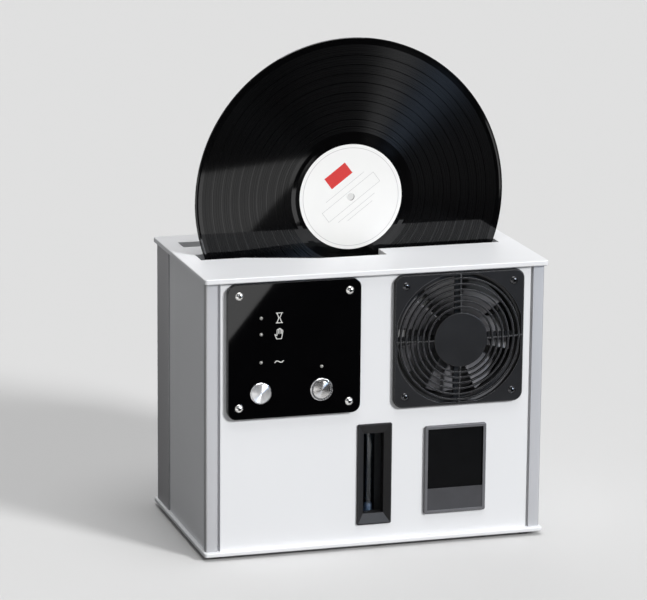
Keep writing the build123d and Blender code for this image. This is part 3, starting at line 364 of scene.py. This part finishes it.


# plain finishes: colour, gloss, how much both drift, the grain, and the rounding of the edges
# in mm with the paler tone that wear and a painted highlight give them

finishes = {
    "whiteCoating": {
        "color": (0.8, 0.81, 0.83), "rough": 0.45, "shade": 0.03, "spread": 0.1, "cloud": 9,
        "grain": 1100, "bump": 0.12, "edge": 0.45, "wornAndHighlit": (0.85, 0.85, 0.86)},
    "sideCoating": {
        "color": (0.8, 0.81, 0.83), "rough": 0.42, "shade": 0.04, "spread": 0.1, "cloud": 9,
        "grain": 1100, "bump": 0.12, "edge": 0.3, "wornAndHighlit": (0.85, 0.85, 0.86)},
    "columnAluminium": {
        "color": (0.5, 0.5, 0.513), "metal": 0.35, "rough": 0.48, "shade": 0.1, "spread": 0.12,
        "cloud": 30, "grain": 700, "stretch": (1, 1, 0.015), "bump": 0.1, "edge": 0.3,
        "wornAndHighlit": (0.74, 0.74, 0.75)},
    "blackPlastic": {
        "color": (0.01, 0.0095, 0.01), "specular": 0.3, "rough": 0.5, "shade": 0.3,
        "spread": 0.15, "cloud": 60, "grain": 1400, "bump": 0.25, "edge": 0.35,
        "wornAndHighlit": (0.06, 0.06, 0.062)},
    # on the fan guard the pale edge tone is a painted highlight along the rings
    "guardPlastic": {
        "color": (0.008, 0.0077, 0.0084), "specular": 0.28, "rough": 0.42, "shade": 0.3,
        "spread": 0.12, "cloud": 40, "grain": 1400, "bump": 0.25, "edge": 0.5,
        "wornAndHighlit": (0.24, 0.24, 0.25)},
    "fanPlastic": {
        "color": (0.2, 0.198, 0.212), "specular": 0.8, "rough": 0.34, "shade": 0.2,
        "spread": 0.12, "cloud": 40, "grain": 1400, "bump": 0.15, "edge": 0.4,
        "wornAndHighlit": (0.28, 0.28, 0.29)},
    "bezelPlastic": {
        "color": (0.01, 0.0095, 0.01), "specular": 0.3, "rough": 0.55, "shade": 0.3,
        "spread": 0.1, "cloud": 60, "grain": 1000, "bump": 0.7, "edge": 0.4,
        "wornAndHighlit": (0.05, 0.05, 0.05)},
    "chromePlate": {
        "color": (0.84, 0.84, 0.85), "metal": 1, "rough": 0.2, "shade": 0.04, "spread": 0.08,
        "cloud": 150, "grain": 900, "bump": 0.04, "edge": 0.25, "wornAndHighlit": (0.86, 0.86, 0.87)},
    "lightDome": {
        "color": (0.32, 0.32, 0.3), "rough": 0.18, "shade": 0.1, "spread": 0.05, "cloud": 300,
        "grain": 900, "bump": 0.05},
    "footRubber": {
        "color": (0.02, 0.02, 0.02), "rough": 0.85, "shade": 0.3, "spread": 0.1, "cloud": 80,
        "grain": 1200, "bump": 0.4, "edge": 0.6, "wornAndHighlit": (0.04, 0.04, 0.04)},
    "rollerRubber": {
        "color": (0.06, 0.06, 0.06), "rough": 0.7, "shade": 0.2, "spread": 0.1, "cloud": 80,
        "grain": 1500, "bump": 0.3, "edge": 0.4, "wornAndHighlit": (0.1, 0.1, 0.1)},
    "turnedSteel": {
        "color": (0.62, 0.61, 0.6), "metal": 1, "rough": 0.28, "shade": 0.08, "spread": 0.12,
        "cloud": 90, "grain": 1800, "bump": 0.1, "edge": 0.2, "wornAndHighlit": (0.75, 0.74, 0.73)},
    "bathSteel": {
        "color": (0.6, 0.6, 0.61), "metal": 1, "rough": 0.32, "shade": 0.12, "spread": 0.15,
        "cloud": 25, "grain": 1500, "stretch": (0.05, 0.05, 1), "bump": 0.12, "edge": 0.4,
        "wornAndHighlit": (0.72, 0.72, 0.72)},
    "motorSteel": {
        "color": (0.45, 0.45, 0.46), "metal": 1, "rough": 0.35, "shade": 0.1, "spread": 0.15,
        "cloud": 60, "grain": 900, "bump": 0.1, "edge": 0.4, "wornAndHighlit": (0.6, 0.6, 0.6)},
    # the tank's dark colour is a painted shade: it keeps the inside of the level gauge dark
    "tankPlasticShadeDark": {
        "color": (0.09, 0.095, 0.1), "rough": 0.45, "shade": 0.15, "spread": 0.1, "cloud": 15,
        "grain": 700, "bump": 0.1, "edge": 0.5, "wornAndHighlit": (0.14, 0.14, 0.15)},
    "ductPlastic": {
        "color": (0.3, 0.3, 0.3), "rough": 0.5, "shade": 0.08, "spread": 0.1, "cloud": 20,
        "grain": 900, "bump": 0.12, "edge": 0.4, "wornAndHighlit": (0.4, 0.4, 0.4)},
    "gearPlastic": {
        "color": (0.72, 0.7, 0.62), "rough": 0.4, "shade": 0.06, "spread": 0.1, "cloud": 50,
        "grain": 1000, "bump": 0.08, "edge": 0.15, "wornAndHighlit": (0.8, 0.78, 0.7)},
    "knobPlastic": {
        "color": (0.32, 0.32, 0.3), "rough": 0.38, "shade": 0.08, "spread": 0.1, "cloud": 60,
        "grain": 900, "bump": 0.1},
    "transducerAluminium": {
        "color": (0.7, 0.7, 0.7), "metal": 1, "rough": 0.3, "shade": 0.08, "spread": 0.1,
        "cloud": 60, "grain": 1500, "bump": 0.1, "edge": 0.3, "wornAndHighlit": (0.8, 0.8, 0.8)},
    "hoseSilicone": {
        "color": (0.66, 0.67, 0.66), "rough": 0.35, "shade": 0.08, "spread": 0.1, "cloud": 40,
        "grain": 800, "bump": 0.08},
    "boardGreen": {
        "color": (0.02, 0.12, 0.05), "rough": 0.35, "shade": 0.25, "spread": 0.2, "cloud": 200,
        "grain": 1200, "bump": 0.15},
    "floatPlastic": {
        "color": (0.4, 0.49, 0.62), "rough": 0.3, "shade": 0.1, "spread": 0.1, "cloud": 90,
        "grain": 900, "bump": 0.05},
}


def makeFinish(name, spec):
    material, tree, paint = newMaterial(name, {
        "Metallic": spec.get("metal", 0), "Specular IOR Level": spec.get("specular", 0.5),
    })
    vector = placedVector(tree, stretch=spec.get("stretch", (1, 1, 1)))
    grain = useGroup(tree, grainGroup, vector, {
        "Color": spec["color"], "Shade": spec["shade"], "Roughness": spec["rough"],
        "Spread": spec["spread"], "Cloud Scale": spec["cloud"], "Grain Scale": spec["grain"],
    }).outputs
    color, edge = grain["Color"], None
    if "edge" in spec:  # handled edges rubbed paler, partly a painted highlight
        edge = roundedEdge(tree, spec["edge"])
        color = mixColor(tree, edgeMask(tree, edge), color, spec["wornAndHighlit"])
    feed(tree, paint.inputs["Base Color"], color)
    feed(tree, paint.inputs["Roughness"], grain["Roughness"])
    addBump(tree, grain["Height"], spec["bump"], grainDepth, edge)
    return material


# painted shade behind the fan guards: the panels are made dark grey where the recess lies in shade
port = {"x": 78.5, "z": 196.5, "radius": 66, "half": 62.6, "portShadeTone": (0.10, 0.10, 0.105)}


def paintPortShade(material, x):
    # painted shade: the coating is made dark grey behind the fan guard, standing in for the shade
    # of the recess
    tree = material.node_tree
    base = tree.nodes["Principled BSDF"].inputs["Base Color"]
    coated = base.links[0].from_socket
    vector = placedVector(tree, (x * mm, 0, port["z"] * mm))
    radius = useGroup(tree, ringGroup, vector, {}).outputs["Radius"]
    axes = splitAxes(tree, vector)
    shadedZone = [mathNode(tree, "LESS_THAN", radius, port["radius"] * mm)]
    for side in ("X", "Z"):
        away = mathNode(tree, "ABSOLUTE", axes[side])
        shadedZone.append(mathNode(tree, "LESS_THAN", away, port["half"] * mm))
    feed(tree, base, mixColor(tree, allOf(tree, shadedZone), coated, port["portShadeTone"]))


materials = {name: makeFinish(name, spec) for name, spec in finishes.items()}
# the front and rear panels: the white coating with the painted shade behind their fan guards
for name, x in (("frontCoating", port["x"]), ("rearCoating", -port["x"])):
    materials[name] = makeFinish(name, finishes["whiteCoating"])
    paintPortShade(materials[name], x)
print("plain finishes:", len(materials))


# the record: grooves spread light across themselves, while the lands between them, the gaps
# between tracks and the run-out are polished

recordCentre = (1.5 * mm, 0, 315.5 * mm)
vinyl = {"color": (0.0012, 0.0012, 0.0014), "specular": 0.08, "polish": 0.035, "coatIor": 1.45,
         "field": (62, 144), "groovesPerMetre": 1400, "landRough": 0.15, "grooveRough": 0.5,
         "coatKept": 0.1, "grooveBump": 0.25, "gapWidth": 0.55,
         "gaps": (67, 73.5, 82, 91.5, 99, 108.5, 117, 125, 134)}


def turnTangent(tree, paint):
    tangent = addNode(tree, "Tangent", {}, direction_type="RADIAL", axis="Y")
    feed(tree, paint.inputs["Tangent"], tangent.outputs["Tangent"])


def makeVinyl(vinyl):
    material, tree, paint = newMaterial("recordVinyl", {
        "Base Color": vinyl["color"], "Specular IOR Level": vinyl["specular"], "Anisotropic": 1,
        "Anisotropic Rotation": 0.25, "Coat Roughness": vinyl["polish"],
        "Coat IOR": vinyl["coatIor"],
    })
    turnTangent(tree, paint)
    rings = useGroup(tree, ringGroup, placedVector(tree, recordCentre),
                     {"Lines": vinyl["groovesPerMetre"]}).outputs
    radius, line = rings["Radius"], rings["Line"]
    inner, outer = (reach * mm for reach in vinyl["field"])
    gaps = anyOf(tree, [bandMask(tree, radius, gap, vinyl["gapWidth"]) for gap in vinyl["gaps"]])
    grooved = allOf(tree, [
        stepMask(tree, radius, inner), stepMask(tree, radius, outer, above=False),
        mathNode(tree, "SUBTRACT", 1, gaps),
    ])
    dull = mathNode(tree, "MULTIPLY", line, vinyl["grooveRough"])
    dull = mathNode(tree, "MULTIPLY", grooved, dull)
    bare = mathNode(tree, "SUBTRACT", line, vinyl["coatKept"])
    bare = mathNode(tree, "MULTIPLY", grooved, bare)
    feed(tree, paint.inputs["Roughness"], mathNode(tree, "ADD", dull, vinyl["landRough"]))
    feed(tree, paint.inputs["Coat Weight"], mathNode(tree, "SUBTRACT", 1, bare, clamp=True))
    addBump(tree, mathNode(tree, "MULTIPLY", grooved, line), vinyl["grooveBump"], ringDepth)
    return material


# the record's label: a colour block, a framed field and thin rules, all leaning with the disc
label = {
    "paper": (0.84, 0.84, 0.83), "red": (0.62, 0.035, 0.03), "ink": (0.32, 0.32, 0.33),
    "inkShown": 0.6, "lean": 37, "block": (-10, 15, 17.5, 30), "lineHalf": 0.2,
    "rules": ((-22, 24, 11), (-31, 31, 5), (-31, 31, -6), (-24, 20, -12), (-16, 14, -16.5)),
    "ends": ((-31, -6, 5), (31, -6, 5)), "rim": 46.6, "rimWidth": 0.25, "pressed": 36.5,
    "pressedWidth": 0.8, "bump": 0.2,
}


def makeLabel(label):
    material, tree, paint = newMaterial("labelPaper", {"Specular IOR Level": 0.25})
    vector = placedVector(tree, recordCentre)
    grain = useGroup(tree, grainGroup, vector, {
        "Color": label["paper"], "Shade": 0.04, "Roughness": 0.62, "Spread": 0.1,
        "Cloud Scale": 60, "Grain Scale": 1200,
    }).outputs
    lean = addNode(tree, "VectorRotate", {"Vector": vector, "Angle": math.radians(label["lean"])},
                   rotation_type="Y_AXIS")
    axes = splitAxes(tree, lean.outputs["Vector"])
    across, up, half = axes["X"], axes["Z"], label["lineHalf"]
    boxes = [(left, right, z - half, z + half) for left, right, z in label["rules"]]
    boxes += [(x - half, x + half, bottom, top) for x, bottom, top in label["ends"]]
    radius = useGroup(tree, ringGroup, vector, {}).outputs["Radius"]
    lines = [boxMask(tree, across, up, box) for box in boxes]
    lines.append(bandMask(tree, radius, label["rim"], label["rimWidth"]))
    printed = mathNode(tree, "MULTIPLY", anyOf(tree, lines), label["inkShown"])
    color = mixColor(tree, printed, grain["Color"], label["ink"])
    color = mixColor(tree, boxMask(tree, across, up, label["block"]), color, label["red"])
    feed(tree, paint.inputs["Base Color"], color)
    feed(tree, paint.inputs["Roughness"], grain["Roughness"])
    pressed = bandMask(tree, radius, label["pressed"], label["pressedWidth"])
    height = mathNode(tree, "SUBTRACT", grain["Height"], pressed)
    addBump(tree, height, label["bump"], grainDepth)
    return material


# the control panel: a polished sheet with a little dust and printed signs

acrylic = {"color": (0.0015, 0.0015, 0.0018), "rough": 0.025, "ink": (0.68, 0.68, 0.66),
           "inkRough": 0.4, "dust": (0.4, 0.4, 0.4), "dustScale": 260, "dustSize": 0.035,
           "dustShown": 0.06, "edge": 0.4, "edgeTone": (0.02, 0.02, 0.021),
           "bump": 0.02, "bumpDepth": 0.1}

# printed signs beside the lights, in mm from the middle of each: wait, drain by hand, wash
signs = {
    "hourglass": {"middle": (-95, 227), "half": 0.36, "strokes": (
        (-3.0, 4.6, 3.0, 4.6), (-3.0, -4.6, 3.0, -4.6), (-2.3, 4.4, -0.4, 0), (-0.4, 0, -2.3, -4.4),
        (2.3, 4.4, 0.4, 0), (0.4, 0, 2.3, -4.4))},
    "hand": {"middle": (-95, 212.2), "half": 0.34, "strokes": (
        (-2.5, -4.8, 2.2, -4.8), (-2.5, -4.8, -4.2, -0.6), (-4.2, -0.6, -2.1, -1.6),
        (-2.1, -1.6, -2.1, 3.6), (-2.1, 3.6, -0.7, 4.4), (-0.7, 4.4, -0.7, 0.2),
        (-0.7, 4.4, 0.7, 4.8), (0.7, 4.8, 0.7, 0.2), (0.7, 4.8, 2.1, 3.8), (2.1, 3.8, 2.1, 0.0),
        (2.1, 3.8, 3.4, 2.4), (3.4, 2.4, 2.2, -4.8))},
    "wave": {"middle": (-95, 186), "half": 0.42, "strokes": (
        (-4.0, -0.7, -2.9, 0.6), (-2.9, 0.6, -1.5, 0.7), (-1.5, 0.7, 1.5, -0.7),
        (1.5, -0.7, 2.9, -0.6), (2.9, -0.6, 4.0, 0.7))},
}


def makeAcrylic(acrylic, signs):
    material, tree, paint = newMaterial("panelAcrylic", {})
    vector = placedVector(tree)
    grain = useGroup(tree, grainGroup, vector, {
        "Color": acrylic["color"], "Shade": 0.5, "Roughness": acrylic["rough"], "Spread": 0.03,
        "Cloud Scale": 30, "Grain Scale": 40,
    }).outputs
    specks = addNode(tree, "TexVoronoi", {"Vector": vector, "Scale": acrylic["dustScale"]})
    dust = stepMask(tree, specks.outputs["Distance"], acrylic["dustSize"], above=False)
    dust = mathNode(tree, "MULTIPLY", dust, acrylic["dustShown"])
    edge = roundedEdge(tree, acrylic["edge"])
    color = mixColor(tree, dust, grain["Color"], acrylic["dust"])
    color = mixColor(tree, edgeMask(tree, edge), color, acrylic["edgeTone"])
    marks = []
    for sign in signs.values():
        x, z = sign["middle"]
        for x0, z0, x1, z1 in sign["strokes"]:
            stroke = useGroup(tree, strokeGroup, vector, {
                "Start": ((x + x0) * mm, 0, (z + z0) * mm),
                "End": ((x + x1) * mm, 0, (z + z1) * mm), "Half Width": sign["half"] * mm,
            })
            marks.append(stroke.outputs["Mask"])
    ink = anyOf(tree, marks)
    dull = mathNode(tree, "MULTIPLY", ink, acrylic["inkRough"])
    feed(tree, paint.inputs["Base Color"], mixColor(tree, ink, color, acrylic["ink"]))
    feed(tree, paint.inputs["Roughness"], mathNode(tree, "ADD", grain["Roughness"], dull))
    addBump(tree, grain["Height"], acrylic["bump"], acrylic["bumpDepth"], edge)
    return material


# the button caps, faced on a lathe: fine rings round the cap's own axis

caps = {
    "start": {"color": (0.86, 0.86, 0.87), "rough": 0.34, "middle": (-112.3, 157.3)},
    "power": {"color": (0.66, 0.65, 0.64), "rough": 0.22, "middle": (-54.5, 157.3)},
}
lathe = {"lines": 5200, "anisotropic": 0.92, "ringTone": 0.82, "ringRough": 0.12, "bump": 0.12}


def makeTurned(name, spec):
    material, tree, paint = newMaterial(name, {
        "Metallic": 1, "Anisotropic": lathe["anisotropic"], "Anisotropic Rotation": 0.25,
    })
    turnTangent(tree, paint)
    x, z = spec["middle"]
    vector = placedVector(tree, (x * mm, 0, z * mm))
    line = useGroup(tree, ringGroup, vector, {"Lines": lathe["lines"]}).outputs["Line"]
    darker = tuple(lathe["ringTone"] * level for level in spec["color"])
    rough = mathNode(tree, "MULTIPLY", line, lathe["ringRough"])
    smoothest = spec["rough"] - lathe["ringRough"] / 2
    feed(tree, paint.inputs["Base Color"], mixColor(tree, line, darker, spec["color"]))
    feed(tree, paint.inputs["Roughness"], mathNode(tree, "ADD", rough, smoothest))
    addBump(tree, line, lathe["bump"], ringDepth)
    return material


# the screws: bright on the control panel, blackened on the fan guards, with painted shade down in
# the sockets

screw = {"bright": (0.74, 0.73, 0.71), "dark": (0.07, 0.07, 0.073), "rough": 0.24,
         "spacing": 52.4, "panelX": 80.3, "guardX": 78.5, "middleZ": 196.5, "socket": 1.5,
         "socketShadeTone": (0.02, 0.02, 0.02), "socketShadeShown": 0.85, "edge": 0.35,
         "bump": 0.1}


def makeScrewSteel(screw):
    material, tree, paint = newMaterial("screwSteel", {"Metallic": 1})
    vector = placedVector(tree)
    axes = splitAxes(tree, vector)
    onPanel = allOf(tree, [stepMask(tree, axes[side], 0, above=False) for side in ("X", "Y")])
    further = mathNode(tree, "MULTIPLY", onPanel, (screw["panelX"] - screw["guardX"]) * mm)
    middle = mathNode(tree, "ADD", further, screw["guardX"] * mm)
    across = mathNode(tree, "SUBTRACT", mathNode(tree, "ABSOLUTE", axes["X"]), middle)
    up = mathNode(tree, "SUBTRACT", axes["Z"], screw["middleZ"] * mm)
    squares = []
    for side in (across, up):
        away = mathNode(tree, "ABSOLUTE", side)
        away = mathNode(tree, "SUBTRACT", away, screw["spacing"] * mm)
        squares.append(mathNode(tree, "MULTIPLY", away, away))
    radius = mathNode(tree, "SQRT", mathNode(tree, "ADD", *squares))
    # painted shade: the hex socket is darkened where the recess lies in shade
    socket = stepMask(tree, radius, screw["socket"] * mm, above=False)
    socket = mathNode(tree, "MULTIPLY", socket, screw["socketShadeShown"])
    tone = mixColor(tree, onPanel, screw["dark"], screw["bright"])
    grain = useGroup(tree, grainGroup, vector, {
        "Color": mixColor(tree, socket, tone, screw["socketShadeTone"]), "Shade": 0.15,
        "Roughness": screw["rough"], "Spread": 0.15, "Cloud Scale": 300, "Grain Scale": 2500,
    }).outputs
    feed(tree, paint.inputs["Base Color"], grain["Color"])
    feed(tree, paint.inputs["Roughness"], grain["Roughness"])
    addBump(tree, grain["Height"], screw["bump"], grainDepth, roundedEdge(tree, screw["edge"]))
    return material


# the badge: a grey rim round a black upper and a grey lower field, with nothing on them

badge = {"rim": (0.15, 0.15, 0.158), "upper": (0.0015, 0.0015, 0.0017),
         "lower": (0.07, 0.07, 0.075), "metal": 0.35, "specular": 0.12, "edge": 0.35,
         "bump": 0.35, "fields": (50.15, 104.45, 32.2, 110.6), "split": 53.1}


def makeBadge(badge):
    material, tree, paint = newMaterial("badgeCoating", {
        "Metallic": badge["metal"], "Specular IOR Level": badge["specular"],
    })
    vector = placedVector(tree)
    axes = splitAxes(tree, vector)
    inside = boxMask(tree, axes["X"], axes["Z"], badge["fields"])
    upper = stepMask(tree, axes["Z"], badge["split"] * mm)
    field = mixColor(tree, upper, badge["lower"], badge["upper"])
    grain = useGroup(tree, grainGroup, vector, {
        "Color": mixColor(tree, inside, badge["rim"], field), "Shade": 0.25, "Roughness": 0.42,
        "Spread": 0.15, "Cloud Scale": 90, "Grain Scale": 1300,
    }).outputs
    feed(tree, paint.inputs["Base Color"], grain["Color"])
    feed(tree, paint.inputs["Roughness"], grain["Roughness"])
    addBump(tree, grain["Height"], badge["bump"], grainDepth, roundedEdge(tree, badge["edge"]))
    return material


glass = {"color": (0.42, 0.48, 0.55), "rough": 0.04, "ior": 1.47, "specular": 0.15, "bump": 0.008}


def makeGlass(glass):
    material, tree, paint = newMaterial("gaugeGlass", {
        "Base Color": glass["color"], "Transmission Weight": 1, "IOR": glass["ior"],
        "Metallic": 0, "Specular IOR Level": glass["specular"],
    })
    grain = useGroup(tree, grainGroup, placedVector(tree), {
        "Roughness": glass["rough"], "Spread": 0.06, "Cloud Scale": 70, "Grain Scale": 500,
    }).outputs
    feed(tree, paint.inputs["Roughness"], grain["Roughness"])
    addBump(tree, grain["Height"], glass["bump"], grainDepth)
    return material


# short fibres and open foam: light tips, with painted shade between them
fibres = {
    "brushPile": {"color": (0.62, 0.68, 0.76), "scale": 900, "lean": 0.6},
    "filterFoam": {"color": (0.20, 0.22, 0.25), "scale": 700, "lean": 1},
}
tuft = {"rough": 0.9, "sheen": 0.4, "specular": 0.2, "rootShade": 0.45, "bump": 0.8, "depth": 0.4}


def makeFibres(name, spec):
    material, tree, paint = newMaterial(name, {
        "Roughness": tuft["rough"], "Sheen Weight": tuft["sheen"],
        "Specular IOR Level": tuft["specular"],
    })
    vector = placedVector(tree, stretch=(1, 1, spec["lean"]))
    cells = addNode(tree, "TexVoronoi", {"Vector": vector, "Scale": spec["scale"]})
    tips = mathNode(tree, "SUBTRACT", 1, cells.outputs["Distance"], clamp=True)
    # painted shade: the roots between the tufts are darkened where shade falls
    shadedRoots = tuple(tuft["rootShade"] * level for level in spec["color"])
    feed(tree, paint.inputs["Base Color"], mixColor(tree, tips, shadedRoots, spec["color"]))
    addBump(tree, tips, tuft["bump"], tuft["depth"])
    return material


materials["recordVinyl"] = makeVinyl(vinyl)
materials["labelPaper"] = makeLabel(label)
materials["panelAcrylic"] = makeAcrylic(acrylic, signs)
materials["screwSteel"] = makeScrewSteel(screw)
materials["badgeCoating"] = makeBadge(badge)
materials["gaugeGlass"] = makeGlass(glass)
for name, spec in fibres.items():
    materials[name] = makeFibres(name, spec)
for name, spec in caps.items():
    materials[name + "Cap"] = makeTurned(name + "Cap", spec)
print("special finishes done")

nodeFinish = {
    "base_plate": "whiteCoating", "top_plate": "whiteCoating", "front_panel": "frontCoating",
    "rear_panel": "rearCoating", "left_panel": "sideCoating", "right_panel": "sideCoating",
    "feet": "footRubber", "front_left_column": "columnAluminium",
    "front_right_column": "columnAluminium", "rear_left_column": "columnAluminium",
    "rear_right_column": "columnAluminium", "control_panel": "panelAcrylic",
    "panel_screws": "screwSteel", "indicator_lights": "lightDome",
    "start_switch": "chromePlate", "power_switch": "chromePlate", "start_button": "startCap",
    "power_button": "powerCap", "control_board": "boardGreen",
    "front_fan_guard": "guardPlastic", "rear_fan_guard": "guardPlastic",
    "front_fan_frame": "blackPlastic", "rear_fan_frame": "blackPlastic",
    "front_fan_rotor": "fanPlastic", "rear_fan_rotor": "fanPlastic",
    "front_air_duct": "ductPlastic", "rear_air_duct": "ductPlastic",
    "sight_bezel": "bezelPlastic", "sight_tube": "gaugeGlass", "level_float": "floatPlastic",
    "badge_plate": "badgeCoating", "record_disc": "recordVinyl", "record_labels": "labelPaper",
    "drive_roller": "rollerRubber", "drive_shaft": "turnedSteel", "drive_motor": "motorSteel",
    "idler_roller": "knobPlastic", "cleaning_bath": "bathSteel", "bath_deck": "ductPlastic",
    "reservoir": "tankPlasticShadeDark", "cross_pinion": "gearPlastic", "transfer_gear": "gearPlastic",
    "motor_pinion": "turnedSteel", "brush_motor": "motorSteel",
    "transducer": "transducerAluminium", "pump": "blackPlastic", "water_hoses": "hoseSilicone",
    "filter_core": "knobPlastic", "filter_foam": "filterFoam", "generator_board": "boardGreen",
    "power_inlet": "blackPlastic", "drain_plug": "blackPlastic",
}
corners = ("front_left", "front_right", "rear_left", "rear_right")
for corner in corners:
    nodeFinish["brush_spindle_" + corner] = "gearPlastic"
    nodeFinish["brush_sleeve_" + corner] = "brushPile"


def dress(piece, finish):
    piece.data.materials.clear()
    piece.data.materials.append(materials[finish])


for name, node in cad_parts.items():
    dress(node, nodeFinish[name])
print("nodes dressed:", len(nodeFinish))


# brush sleeves of short pile, and the filter's foam

pile = {"core": 9, "around": 80, "rows": 44, "tufts": "VORONOI", "tuft": 2.4, "depth": 0.8,
        "rounding": 0.5}
foam = {"core": 2.5, "around": 48, "rows": 60, "tufts": "CLOUDS", "tuft": 5, "depth": 0.5,
        "rounding": 1.2}
endAngle, smoothAngle = math.radians(60), math.radians(45)


def addTube(name, node, spec):
    # an open wall in the space of the CAD solid, uneven outside, then thickened to its core
    low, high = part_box(node)
    radius = (high.x - low.x) / 2
    bpy.ops.object.select_all(action="DESELECT")
    bpy.ops.mesh.primitive_cylinder_add(
        vertices=spec["around"], radius=radius, depth=high.z - low.z, end_fill_type="NOTHING",
        location=(low + high) / 2)
    tube = bpy.context.object
    tube.name = name
    bpy.ops.object.mode_set(mode="EDIT")
    bpy.ops.mesh.select_mode(type="EDGE")
    bpy.ops.mesh.select_all(action="DESELECT")
    bpy.ops.object.mode_set(mode="OBJECT")
    for edge in tube.data.edges:  # the upright edges
        first, last = (tube.data.vertices[end].co for end in edge.vertices)
        edge.select = abs(first.z - last.z) > mm
    bpy.ops.object.mode_set(mode="EDIT")
    bpy.ops.mesh.subdivide(number_cuts=spec["rows"])
    bpy.ops.object.mode_set(mode="OBJECT")
    tufts = bpy.data.textures.new(name + "Tufts", spec["tufts"])
    tufts.noise_scale = spec["tuft"] * mm
    fluff = tube.modifiers.new("fluff", "DISPLACE")
    fluff.texture = tufts
    fluff.texture_coords = "LOCAL"
    fluff.mid_level = 0
    fluff.strength = -spec["depth"] * mm
    wall = tube.modifiers.new("wall", "SOLIDIFY")
    wall.thickness = radius - spec["core"] * mm
    wall.offset = -1
    ends = tube.modifiers.new("ends", "BEVEL")
    ends.width = spec["rounding"] * mm
    ends.segments = 2
    ends.limit_method = "ANGLE"
    ends.angle_limit = endAngle
    for step in list(tube.modifiers):
        bpy.ops.object.modifier_apply(modifier=step.name)
    bpy.ops.object.shade_smooth_by_angle(angle=smoothAngle)
    bpy.ops.object.transform_apply(location=True, rotation=True, scale=True)
    return tube


def addSleeves(pile):
    first = addTube("pileSleeveFrontLeft", "brush_sleeve_front_left", pile)
    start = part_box("brush_sleeve_front_left")[0]
    for corner in corners:
        sleeve = first
        if corner != "front_left":
            sleeve = first.copy()
            sleeve.data = first.data.copy()
            sleeve.name = "pileSleeve" + corner.title().replace("_", "")
            bpy.context.collection.objects.link(sleeve)
            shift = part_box("brush_sleeve_" + corner)[0] - start
            sleeve.data.transform(Matrix.Translation(shift))
        dress(sleeve, "brushPile")
        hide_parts("brush_sleeve_" + corner)
        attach(sleeve, "brush_" + corner)


addSleeves(pile)
filterFoam = addTube("filterFoamRing", "filter_foam", foam)
dress(filterFoam, "filterFoam")
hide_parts("filter_foam")
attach(filterFoam, "filter")
print("soft pieces done")
